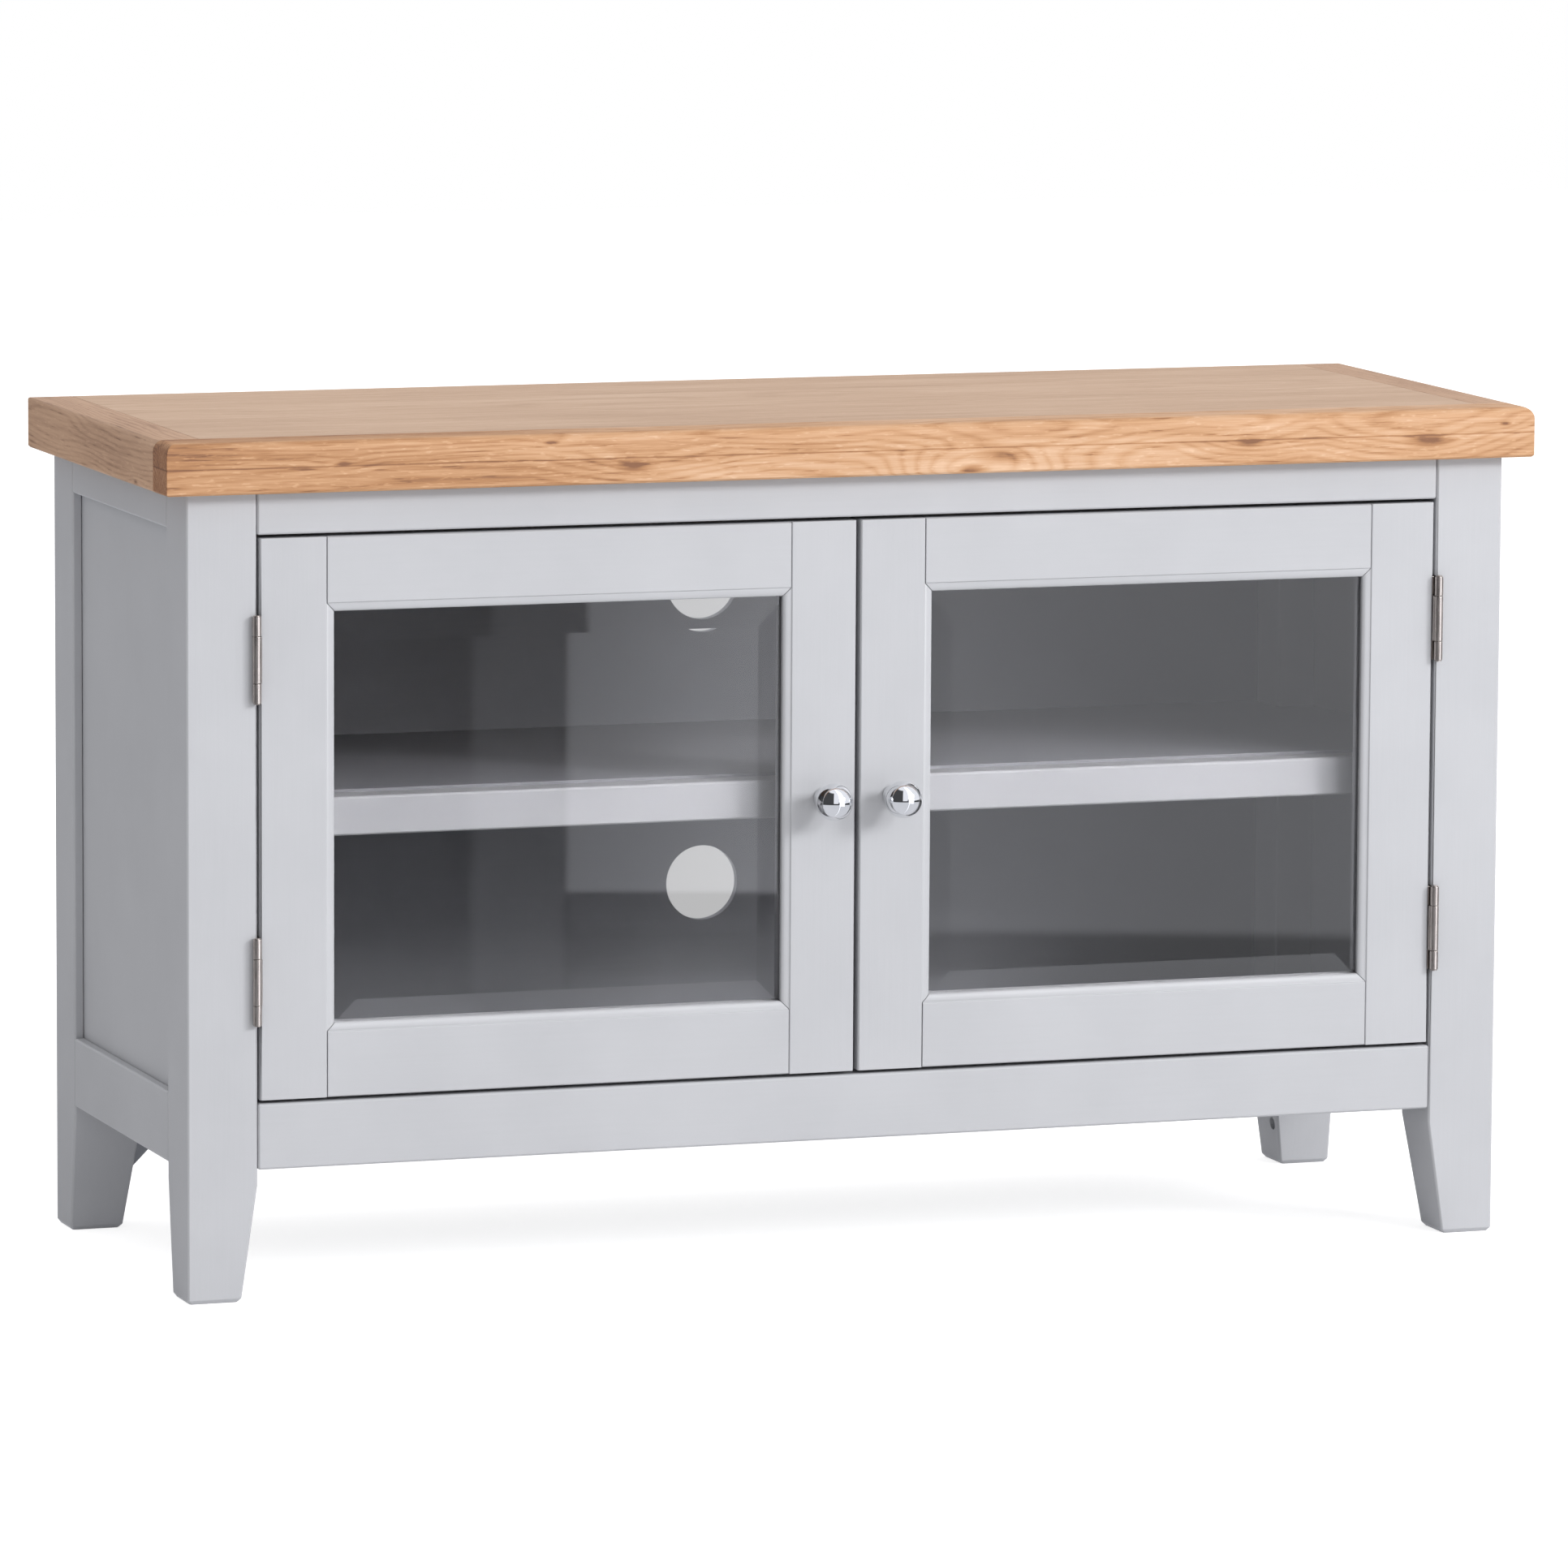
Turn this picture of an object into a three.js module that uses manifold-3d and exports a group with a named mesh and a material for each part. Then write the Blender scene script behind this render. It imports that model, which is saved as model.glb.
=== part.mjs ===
// Low painted media cabinet with an oak top, two glazed doors and one fixed shelf.
// Millimetres, +Z up. The origin is on the floor, at the middle of the overall box.
// The doors face -Y and stand closed; every sub-part is its own named mesh.
import * as THREE from 'three';
import { mergeVertices } from 'three/addons/utils/BufferGeometryUtils.js';
import { ConvexGeometry } from 'three/addons/geometries/ConvexGeometry.js';
import Module from 'manifold-3d';

const wasm = await Module();
wasm.setup();

// ---------------------------------------------------------------- driving dimensions
const HEIGHT = 500;
const TOP_W = 846;
const TOP_D = 306;
const TOP_T = 30;
const TOP_BACK = 162;             // the knobs reach as far forward as the top reaches back
const TOP_ROUND = 7;              // rounding along the upper front edge
const TOP_ROUND_REAR = 1.2;       // what is left of it at the two rear corners
const TOP_EASE = 1.2;             // small ease along the lower edges
const FRONT_STRIP = 29;           // widths of the solid strips round the top's core
const SIDE_STRIP = 27;
const REAR_STRIP = 22;

const BODY_W = 816;
const FRONT_OVERHANG = 13;
const BACK_OVERHANG = 3;
const POST = 42;
const FOOT = 32;                  // the two inner faces taper from POST to this
const TAPER_TOP = 68;
const RAIL_T = 22;
const FRONT_RAIL_LOW_Z = [77, 115.5];
const FRONT_RAIL_TOP_Z = 445.3;
const SIDE_RAIL_LOW_Z = [77, 118.5];
const SIDE_RAIL_TOP_Z = 446.5;
const REAR_RAIL_T = 20;
const SIDE_PANEL_T = 12;
const SIDE_PANEL_SET_BACK = 6;
const BACK_T = 6;
const BOARD_T = 15;
const BOARD_TOP_Z = 114;
const SHELF_Z = 266.5;            // underside
const SHELF_T = 22.8;
const SHELF_STEP = 1.6;           // the shelf board stands this much over its front lipping
const LIPPING_D = 20;
const SHELF_FRONT_GAP = 3;        // from the back of the doors
const HOLE_D = 46;                // cable holes in the back
const HOLE_Z = [191, 369];
const BRACE = 44;                 // the two 45 degree knee braces reach this far down and in
const BRACE_T = 18;
const LEG_HOLE_D = 8;             // blind hole in each rear leg for a wall strap
const LEG_HOLE_Z = 25.5;
const LEG_HOLE_FROM_BACK = 26;
const LEG_HOLE_DEEP = 12;

const DOOR_T = 20;
const DOOR_Z = [117.5, 443.3];
const HINGE_GAP = 1.8;            // between a door and its post
const MEETING_GAP = 2.8;          // between the two doors
const STILE_FLAT = 40.1;
const RAIL_FLAT = 38.6;
const MOULDING_W = 4.8;
const QUIRK = 0.7;
const LIP_FRONT = 2.6;            // where the ovolo ends, behind the door's face
const LIP_BACK = 5;               // the rebate's shoulder
const REBATE_W = 9;
const GLASS_T = 3;
const GLASS_EDGE_T = 2;
const GLASS_BEVEL = 20;
const GLASS_FACE = 4.9;           // the glass's flat front, behind the door's face
const GLASS_OVERLAP = { side: 6, top: 2.2, bottom: 7.5 };
const BEAD = 8.6;
const BEAD_T = 8.6;

const BARREL_R = 2.6;
const PIN_R = 1.1;
const BORE_R = 1.4;
const HINGE_H = 50;
const END_KNUCKLE = 11.4;
const LEAF_T = 1.2;
const LEAF_D = 21;
const HINGE_FROM_MIDDLE = 93.4;   // each hinge's centre, above or below the door's middle
const AXIS_IN_POST = 0.8;         // the hinge axis lies this far past the post's edge
const AXIS_PROUD = 2.9;           // and this far in front of the doors' face
const KNOB_REACH = 30.85;
const KNOB_BALL_R = 11;
const KNOB_FOOT_R = 6;

const TENON_T = 8;
const TENON_L = 15;
const DOOR_TENON_T = 7;
const DOOR_TENON_L = 20;
const GROOVE_DEEP = 6;
const BACK_LAP = 8;               // the back is let this far into the rear posts
const HOUSING = 4;                // the shelf is let this far into the side panels
const FIT = 0.3;                  // play round a tenon, a panel or a leaf
const GLUE = 0.15;                // between two faces that are glued
const ARRIS = 1;

// ---------------------------------------------------------------- derived places
const TOP_FRONT = TOP_BACK - TOP_D;
const FRONT = TOP_FRONT + FRONT_OVERHANG;
const BACK = TOP_BACK - BACK_OVERHANG;
const SIDE = BODY_W / 2;
const CARCASS_TOP = HEIGHT - TOP_T - GLUE;
const POST_IN = SIDE - POST;                       // inner faces of the posts
const FRONT_POST_BACK = FRONT + POST;
const REAR_POST_FRONT = BACK - POST;
const PANEL_OUT = SIDE - SIDE_PANEL_SET_BACK;
const PANEL_IN = PANEL_OUT - SIDE_PANEL_T;
const BACK_FACE = BACK - 0.5 - BACK_T;             // front face of the back panel
const REAR_RAIL_FRONT = BACK_FACE - GLUE - REAR_RAIL_T;
const DOOR_BACK = FRONT + DOOR_T;
const DOOR_HINGE_EDGE = POST_IN - HINGE_GAP;
const DOOR_LOCK_EDGE = MEETING_GAP / 2;
const DOOR_MIDDLE = (DOOR_Z[0] + DOOR_Z[1]) / 2;
const AXIS_X = POST_IN + AXIS_IN_POST;
const AXIS_Y = FRONT - AXIS_PROUD;
const SHELF_FRONT = DOOR_BACK + SHELF_FRONT_GAP;
const SHELF_TOP = SHELF_Z + SHELF_T + SHELF_STEP;

// ---------------------------------------------------------------- materials
const finish = (color, roughness, metalness, more = {}) =>
  new THREE.MeshStandardMaterial({ color, roughness, metalness, ...more });
const oak = () => finish(0xd3aa84, 0.45, 0);
const paint = () => finish(0xcdced3, 0.5, 0);
const nickel = () => finish(0xc9bdb4, 0.3, 1);
const chrome = () => finish(0xe8e8ea, 0.05, 1);
const clearGlass = () => finish(0xdfe7e6, 0.03, 0, { transparent: true, opacity: 0.3 });
const whitePlastic = () => finish(0xe6e6e2, 0.4, 0);

// ---------------------------------------------------------------- shapes
const sorted = (a, b) => [Math.min(a, b), Math.max(a, b)];

function block(xs, ys, zs) {
  const [x0, x1] = sorted(...xs);
  const [y0, y1] = sorted(...ys);
  const [z0, z1] = sorted(...zs);
  const box = new THREE.BoxGeometry(x1 - x0, y1 - y0, z1 - z0);
  return box.translate((x0 + x1) / 2, (y0 + y1) / 2, (z0 + z1) / 2);
}

// A block whose twelve edges are planed off by `ease`.
function easedBlock(xs, ys, zs, ease = ARRIS) {
  const spans = [sorted(...xs), sorted(...ys), sorted(...zs)];
  const points = [];
  for (const face of [0, 1, 2]) {
    for (let corner = 0; corner < 8; corner += 1) {
      const at = spans.map(([low, high], axis) => {
        const step = axis === face ? 0 : ease;
        return (corner >> axis) & 1 ? high - step : low + step;
      });
      points.push(new THREE.Vector3(...at));
    }
  }
  return new ConvexGeometry(points);
}

// An outline pulled straight along one axis. Its points are (y, z) along X,
// (x, z) along Y and (x, y) along Z.
const FRAMES = {
  x: [[0, 1, 0], [0, 0, 1], [1, 0, 0]],
  y: [[1, 0, 0], [0, 0, 1], [0, -1, 0]],
  z: [[1, 0, 0], [0, 1, 0], [0, 0, 1]],
};

function prism(outline, axis, from, to, holes = []) {
  const [low, high] = sorted(from, to);
  const shape = new THREE.Shape(outline.map(([u, v]) => new THREE.Vector2(u, v)));
  shape.holes.push(...holes);
  const settings = { depth: high - low, bevelEnabled: false, curveSegments: 24 };
  const solid = new THREE.ExtrudeGeometry(shape, settings);
  const basis = FRAMES[axis].map((v) => new THREE.Vector3(...v));
  solid.applyMatrix4(new THREE.Matrix4().makeBasis(...basis));
  const start = { x: [low, 0, 0], y: [0, high, 0], z: [0, 0, low] }[axis];
  return solid.translate(...start);
}

const rod = (radius, x, y, z0, z1, sides = 24) =>
  new THREE.CylinderGeometry(radius, radius, z1 - z0, sides)
    .rotateX(Math.PI / 2)
    .translate(x, y, (z0 + z1) / 2);

// ---------------------------------------------------------------- joining and cutting
function toSolid(geometry) {
  const bare = geometry.clone();
  bare.deleteAttribute('normal');
  bare.deleteAttribute('uv');
  const merged = mergeVertices(bare, 1e-4);
  return new wasm.Manifold(new wasm.Mesh({
    numProp: 3,
    vertProperties: new Float32Array(merged.attributes.position.array),
    triVerts: new Uint32Array(merged.index.array),
  }));
}

function toGeometry(solid) {
  const { vertProperties, triVerts } = solid.getMesh();
  const geometry = new THREE.BufferGeometry();
  geometry.setAttribute('position', new THREE.BufferAttribute(vertProperties, 3));
  geometry.setIndex(new THREE.BufferAttribute(triVerts, 1));
  geometry.computeVertexNormals();
  return geometry;
}

const cut = (body, ...tools) =>
  toGeometry(tools.reduce((solid, tool) => solid.subtract(toSolid(tool)), toSolid(body)));
const join = (body, ...others) =>
  toGeometry(others.reduce((solid, other) => solid.add(toSolid(other)), toSolid(body)));
const keep = (body, ...others) =>
  toGeometry(others.reduce((solid, other) => solid.intersect(toSolid(other)), toSolid(body)));

// Each mesh has its geometry round its own centre and its place in its position.
function place(group, name, geometry, material) {
  geometry.computeBoundingBox();
  const centre = geometry.boundingBox.getCenter(new THREE.Vector3());
  const mesh = new THREE.Mesh(geometry.translate(-centre.x, -centre.y, -centre.z), material);
  mesh.name = name;
  mesh.position.copy(centre);
  group.add(mesh);
  return mesh;
}

const sides = [['left', -1], ['right', 1]];

// ---------------------------------------------------------------- oak top
// A core board with a solid strip glued to each edge. The whole slab is shaped once,
// rounded above and eased below, and each piece is its share of it. The rounding of the
// two ends dies away towards the back.
function taperRounding(geometry) {
  const points = geometry.attributes.position;
  const left = TOP_ROUND_REAR / TOP_ROUND;
  for (let i = 0; i < points.count; i += 1) {
    const [x, y, z] = [points.getX(i), points.getY(i), points.getZ(i)];
    if (y > 0 && z > HEIGHT - TOP_ROUND - 0.01) {
      const inset = (TOP_W / 2 - Math.abs(x)) * left;
      const high = HEIGHT - (HEIGHT - z) * left;
      points.setXYZ(i, Math.sign(x) * (TOP_W / 2 - inset), TOP_BACK - inset, high);
    }
  }
  return geometry;
}

function topSlab() {
  const slab = (bottom, bevel, segments) => {
    const x = TOP_W / 2 - bevel;
    const y = [TOP_FRONT + bevel, TOP_BACK - bevel];
    const corners = [[-x, y[0]], [x, y[0]], [x, y[1]], [-x, y[1]]];
    const shape = new THREE.Shape(corners.map(([u, v]) => new THREE.Vector2(u, v)));
    const settings = {
      depth: 2 * (TOP_T - bevel), bevelSize: bevel, bevelThickness: bevel, bevelSegments: segments,
    };
    return new THREE.ExtrudeGeometry(shape, settings).translate(0, 0, bottom + bevel);
  };
  const underside = HEIGHT - TOP_T;
  const rounded = taperRounding(slab(underside - TOP_T, TOP_ROUND, 7));
  const eased = slab(underside, TOP_EASE, 1);
  return keep(rounded, eased);
}

function buildTop() {
  const group = new THREE.Group();
  const slab = topSlab();
  const reach = TOP_W;
  const high = [HEIGHT - 2 * TOP_T, HEIGHT + TOP_T];
  const frontJoint = TOP_FRONT + FRONT_STRIP;
  const rearJoint = TOP_BACK - REAR_STRIP;
  const sideJoint = TOP_W / 2 - SIDE_STRIP;
  const coreX = [GLUE - sideJoint, sideJoint - GLUE];
  const coreY = [frontJoint + GLUE, rearJoint - GLUE];
  place(group, 'top_board', keep(slab, block(coreX, coreY, high)), oak());
  place(group, 'top_front_strip', keep(slab, block([-reach, reach], [-reach, frontJoint], high)), oak());
  place(group, 'top_rear_strip', keep(slab, block(coreX, [rearJoint, reach], high)), oak());
  for (const [side, s] of sides) {
    const strip = block([s * sideJoint, s * reach], [frontJoint + GLUE, reach], high);
    place(group, `top_${side}_strip`, keep(slab, strip), oak());
  }
  return group;
}

// ---------------------------------------------------------------- carcass
// A rail with a tenon on each end; `tenon` gives the tenon's two other spans.
function tenonedRail(along, xs, ys, zs, tenon) {
  const [low, high] = along === 'x' ? xs : ys;
  const tongue = [low - TENON_L, high + TENON_L];
  const core = along === 'x' ? block(tongue, tenon[0], tenon[1]) : block(tenon[0], tongue, tenon[1]);
  return join(easedBlock(xs, ys, zs), core);
}

const grown = ([a, b]) => {
  const [low, high] = sorted(a, b);
  return [low - FIT, high + FIT];
};

// Tenons' places, shared by the rails and the mortises in the posts.
const FRONT_TENON_Y = [FRONT + 7, FRONT + 7 + TENON_T];
const REAR_TENON_Y = [REAR_RAIL_FRONT + 6, REAR_RAIL_FRONT + 6 + TENON_T];
const SIDE_TENON_X = [SIDE - 7 - TENON_T, SIDE - 7];
const TOP_TENON_Z = [SIDE_RAIL_TOP_Z + 4, CARCASS_TOP - 5];
const LOW_TENON_Z = [FRONT_RAIL_LOW_Z[0] + 6, FRONT_RAIL_LOW_Z[1] - 6];
const TOP_GROOVE_Z = [SIDE_RAIL_TOP_Z - 1, SIDE_RAIL_TOP_Z + GROOVE_DEEP];
const LOW_GROOVE_Z = [SIDE_RAIL_LOW_Z[1] - GROOVE_DEEP, SIDE_RAIL_LOW_Z[1] + 1];
const PANEL_Z = [SIDE_RAIL_LOW_Z[1] - GROOVE_DEEP + FIT, SIDE_RAIL_TOP_Z + GROOVE_DEEP - FIT];
const PANEL_Y = [FRONT_POST_BACK - GROOVE_DEEP + FIT, REAR_POST_FRONT + GROOVE_DEEP - FIT];

// Square post whose two inner faces taper towards the floor.
function post(s, isRear) {
  const outX = s * SIDE;
  const outY = isRear ? BACK : FRONT;
  const inward = isRear ? -1 : 1;
  const points = [];
  const levels = [
    [CARCASS_TOP, POST, ARRIS, 0], [TAPER_TOP, POST, ARRIS, 0],
    [2.4, FOOT + 0.4, ARRIS, 0], [0, FOOT, ARRIS, 1.8],
  ];
  for (const [z, size, ease, inset] of levels) {
    const far = size - inset;
    for (const [a, b] of [
      [inset + ease, inset], [inset, inset + ease], [far - ease, inset], [far, inset + ease],
      [inset, far - ease], [inset + ease, far], [far, far - ease], [far - ease, far]]) {
      points.push(new THREE.Vector3(outX - s * a, outY + inward * b, z));
    }
  }
  const slots = [];
  const reach = TENON_L + 1;
  const endY = isRear ? REAR_POST_FRONT : FRONT_POST_BACK;
  const crossY = isRear ? REAR_TENON_Y : FRONT_TENON_Y;
  for (const tenonZ of [TOP_TENON_Z, LOW_TENON_Z]) {
    slots.push(block([s * (POST_IN - 1), s * (POST_IN + reach)], grown(crossY), grown(tenonZ)));
    slots.push(block(grown([s * SIDE_TENON_X[0], s * SIDE_TENON_X[1]]),
      [endY + inward, endY - inward * reach], grown(tenonZ)));
  }
  slots.push(block(grown([s * PANEL_IN, s * PANEL_OUT]),
    [endY + inward, endY - inward * GROOVE_DEEP], grown(PANEL_Z)));
  if (isRear) {
    slots.push(block([s * (POST_IN - 1), s * (POST_IN + BACK_LAP)], [BACK_FACE - GLUE, BACK + 1],
      [FRONT_RAIL_LOW_Z[0] - FIT, HEIGHT]));
    const hole = new THREE.CylinderGeometry(LEG_HOLE_D / 2, LEG_HOLE_D / 2, 2 * LEG_HOLE_DEEP, 20)
      .rotateZ(Math.PI / 2)
      .translate(s * (POST_IN + 6), BACK - LEG_HOLE_FROM_BACK, LEG_HOLE_Z);
    slots.push(hole);
  } else {
    for (const z of [DOOR_MIDDLE - HINGE_FROM_MIDDLE, DOOR_MIDDLE + HINGE_FROM_MIDDLE]) {
      slots.push(block([s * (POST_IN - 1), s * (POST_IN + LEAF_T / 2)], [FRONT - 1, FRONT + LEAF_D + 0.5],
        [z - HINGE_H / 2 - FIT, z + HINGE_H / 2 + FIT]));
    }
  }
  return cut(new ConvexGeometry(points), ...slots);
}

function sideRail(s, zs, tenonZ, grooveZ) {
  const rail = tenonedRail('y', [s * (SIDE - RAIL_T), s * SIDE],
    [FRONT_POST_BACK + FIT, REAR_POST_FRONT - FIT], zs,
    [[s * SIDE_TENON_X[0], s * SIDE_TENON_X[1]], tenonZ]);
  return cut(rail, block(grown([s * PANEL_IN, s * PANEL_OUT]), PANEL_Y, grooveZ));
}

// The shelf and the bottom board are notched round the posts.
function boardOutline(front, back, endX) {
  const inX = POST_IN - FIT;
  const half = [[inX, back], [inX, REAR_POST_FRONT - FIT], [endX, REAR_POST_FRONT - FIT]];
  if (front < FRONT_POST_BACK) {
    half.push([endX, FRONT_POST_BACK + FIT], [inX, FRONT_POST_BACK + FIT], [inX, front]);
  } else {
    half.push([endX, front]);
  }
  const mirrored = half.map(([x, y]) => [-x, y]).reverse();
  return [...half, ...mirrored];
}

function buildCarcass() {
  const group = new THREE.Group();
  for (const [side, s] of sides) {
    place(group, `front_${side}_post`, post(s, false), paint());
    place(group, `rear_${side}_post`, post(s, true), paint());
    place(group, `${side}_side_top_rail`,
      sideRail(s, [SIDE_RAIL_TOP_Z, CARCASS_TOP], TOP_TENON_Z, TOP_GROOVE_Z), paint());
    place(group, `${side}_side_bottom_rail`,
      sideRail(s, SIDE_RAIL_LOW_Z, LOW_TENON_Z, LOW_GROOVE_Z), paint());
    const panel = block([s * PANEL_IN, s * PANEL_OUT], PANEL_Y, PANEL_Z);
    const housing = block([s * (PANEL_IN - 1), s * (PANEL_IN + HOUSING + FIT)],
      [FRONT_POST_BACK - FIT, REAR_POST_FRONT + FIT], grown([SHELF_Z, SHELF_TOP]));
    place(group, `${side}_side_panel`, cut(panel, housing), paint());
  }

  const between = [FIT - POST_IN, POST_IN - FIT];
  const frontY = [FRONT, FRONT + RAIL_T];
  const rearY = [REAR_RAIL_FRONT, REAR_RAIL_FRONT + REAR_RAIL_T];
  const rails = [
    ['front_top_rail', frontY, [FRONT_RAIL_TOP_Z, CARCASS_TOP], [FRONT_TENON_Y, TOP_TENON_Z]],
    ['front_bottom_rail', frontY, FRONT_RAIL_LOW_Z, [FRONT_TENON_Y, LOW_TENON_Z]],
    ['rear_top_rail', rearY, [SIDE_RAIL_TOP_Z, CARCASS_TOP], [REAR_TENON_Y, TOP_TENON_Z]],
    ['rear_bottom_rail', rearY, FRONT_RAIL_LOW_Z, [REAR_TENON_Y, LOW_TENON_Z]],
  ];
  for (const [name, ys, zs, tenon] of rails) {
    place(group, name, tenonedRail('x', between, ys, zs, tenon), paint());
  }

  const backX = POST_IN + BACK_LAP - FIT;
  const backZ = [FRONT_RAIL_LOW_Z[0], CARCASS_TOP];
  const backOutline = [[-backX, backZ[0]], [backX, backZ[0]], [backX, backZ[1]], [-backX, backZ[1]]];
  const holes = HOLE_Z.map((z) => new THREE.Path().absarc(0, z, HOLE_D / 2, 0, 2 * Math.PI, true));
  place(group, 'back_panel', prism(backOutline, 'y', BACK_FACE, BACK_FACE + BACK_T, holes), paint());

  const bottomShape = boardOutline(FRONT + RAIL_T + FIT, REAR_RAIL_FRONT - FIT, SIDE - RAIL_T - FIT);
  place(group, 'bottom_board', prism(bottomShape, 'z', BOARD_TOP_Z - BOARD_T, BOARD_TOP_Z), paint());

  const lippingBack = SHELF_FRONT + LIPPING_D;
  const shelfShape = boardOutline(lippingBack + GLUE, BACK_FACE - FIT, PANEL_IN + HOUSING);
  const lippingZ = [SHELF_Z, SHELF_Z + SHELF_T];
  place(group, 'shelf_front_edge', easedBlock(between, [SHELF_FRONT, lippingBack], lippingZ), paint());
  place(group, 'shelf_board', prism(shelfShape, 'z', SHELF_Z, SHELF_TOP), paint());

  const braceY = [REAR_RAIL_FRONT + 1, REAR_RAIL_FRONT + 1 + BRACE_T];
  const braceTop = FRONT_RAIL_LOW_Z[0] - GLUE;
  const braceFoot = braceTop - BRACE;
  const braceX = POST_IN - FIT;
  const footX = braceX + (TAPER_TOP - braceFoot) * (POST - FOOT) / TAPER_TOP;
  for (const [side, s] of sides) {
    const legEdge = [[s * braceX, braceTop], [s * braceX, TAPER_TOP], [s * footX, braceFoot]];
    const outline = [...legEdge, [s * (footX - BRACE), braceTop]];
    place(group, `rear_${side}_knee_brace`, prism(outline, 'y', ...braceY), paint());
  }

  const catchY = [DOOR_BACK + 2.5, DOOR_BACK + 18];
  const catchZ = [DOOR_Z[1] - 18, FRONT_RAIL_TOP_Z + 12];
  place(group, 'magnetic_catch', easedBlock([-24, 24], catchY, catchZ, 1.5), whitePlastic());
  return group;
}

// ---------------------------------------------------------------- hinges
// Butt hinge: the post's leaf has the two end knuckles, the door's leaf the middle one.
function hingeSpans(z) {
  const low = z - HINGE_H / 2;
  const high = z + HINGE_H / 2;
  const half = FIT / 2;
  return {
    whole: [low, high],
    ends: [[low, low + END_KNUCKLE - half], [high - END_KNUCKLE + half, high]],
    middle: [[low + END_KNUCKLE + half, high - END_KNUCKLE - half]],
  };
}

function leaf(s, plateX, spans, knuckles) {
  const plateY = [FRONT + 0.6, FRONT + LEAF_D];
  const parts = knuckles.flatMap(([z0, z1]) => [
    block(plateX.map((x) => s * x), [AXIS_Y, FRONT + 1.6], [z0, z1]),
    rod(BARREL_R, s * AXIS_X, AXIS_Y, z0, z1),
  ]);
  const plate = block(plateX.map((x) => s * x), plateY, spans.whole);
  const bore = rod(BORE_R, s * AXIS_X, AXIS_Y, spans.whole[0] - 1, spans.whole[1] + 1, 16);
  return cut(join(plate, ...parts), bore);
}

const LEAF_GAP = 0.15;
const POST_LEAF_X = [POST_IN - HINGE_GAP / 2 + LEAF_GAP, POST_IN - HINGE_GAP / 2 + LEAF_GAP + LEAF_T];
const DOOR_LEAF_X = [POST_IN - HINGE_GAP / 2 - LEAF_GAP - LEAF_T, POST_IN - HINGE_GAP / 2 - LEAF_GAP];
const hingeLevels = [
  ['upper', DOOR_MIDDLE + HINGE_FROM_MIDDLE],
  ['lower', DOOR_MIDDLE - HINGE_FROM_MIDDLE],
];

function pin(z) {
  const [low, high] = hingeSpans(z).whole;
  const cap = 0.15;                                 // clear of the knuckle's end
  const profile = [];
  for (let step = 0; step <= 4; step += 1) {
    const angle = (step / 4) * Math.PI / 2;
    profile.push(new THREE.Vector2(2.1 * Math.sin(angle), -cap - 0.3 - 0.5 * Math.cos(angle)));
  }
  profile.push(new THREE.Vector2(2.1, -cap), new THREE.Vector2(PIN_R, -cap));
  const half = HINGE_H / 2;
  const lower = profile.map((p) => new THREE.Vector2(p.x, p.y - half));
  lower[0].x = 0;
  const upper = lower.map((p) => new THREE.Vector2(p.x, -p.y)).reverse();
  return new THREE.LatheGeometry([...lower, ...upper], 16)
    .rotateX(Math.PI / 2)
    .translate(0, 0, (low + high) / 2);
}

function buildFixedHinges() {
  const group = new THREE.Group();
  for (const [side, s] of sides) {
    for (const [level, z] of hingeLevels) {
      const spans = hingeSpans(z);
      place(group, `${side}_${level}_hinge_post_leaf`, leaf(s, POST_LEAF_X, spans, spans.ends), nickel());
      place(group, `${side}_${level}_hinge_pin`, pin(z).translate(s * AXIS_X, AXIS_Y, 0), nickel());
    }
  }
  return group;
}

// ---------------------------------------------------------------- doors
// `a` is the distance from the cabinet's middle plane, so one rule draws both doors.
const SIGHT_A = [DOOR_LOCK_EDGE + STILE_FLAT + MOULDING_W, DOOR_HINGE_EDGE - STILE_FLAT - MOULDING_W];
const SIGHT_Z = [DOOR_Z[0] + RAIL_FLAT + MOULDING_W, DOOR_Z[1] - RAIL_FLAT - MOULDING_W];
const REBATE_FROM_FLAT = REBATE_W - MOULDING_W;     // behind the lip, how far the rebate undercuts the flat
const DOOR_TENON_Y = [FRONT + 7.5, FRONT + 7.5 + DOOR_TENON_T];
const DOOR_TENON_Z = [
  [DOOR_Z[0] + 6, DOOR_Z[0] + RAIL_FLAT - REBATE_FROM_FLAT - 4],
  [DOOR_Z[1] - RAIL_FLAT + REBATE_FROM_FLAT + 4, DOOR_Z[1] - 6],
];

// Section of a stile or rail as (distance from its outer edge, depth behind the face):
// flat face, quirk, ovolo, lip and the rebate that holds the glass and its beads.
function frameSection(flat) {
  const section = [[0, ARRIS], [ARRIS * 0.7, 0], [flat - 0.5, 0], [flat, QUIRK]];
  const steps = 5;
  for (let step = 1; step <= steps; step += 1) {
    const angle = (step / steps) * Math.PI / 2;
    const depth = (LIP_FRONT - QUIRK) * (1 - Math.cos(angle));
    section.push([flat + MOULDING_W * Math.sin(angle), QUIRK + depth]);
  }
  const sight = flat + MOULDING_W;
  section.push([sight, LIP_BACK], [sight - REBATE_W, LIP_BACK]);
  section.push([sight - REBATE_W, DOOR_T], [ARRIS * 0.7, DOOR_T], [0, DOOR_T - ARRIS]);
  return section;
}

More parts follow.
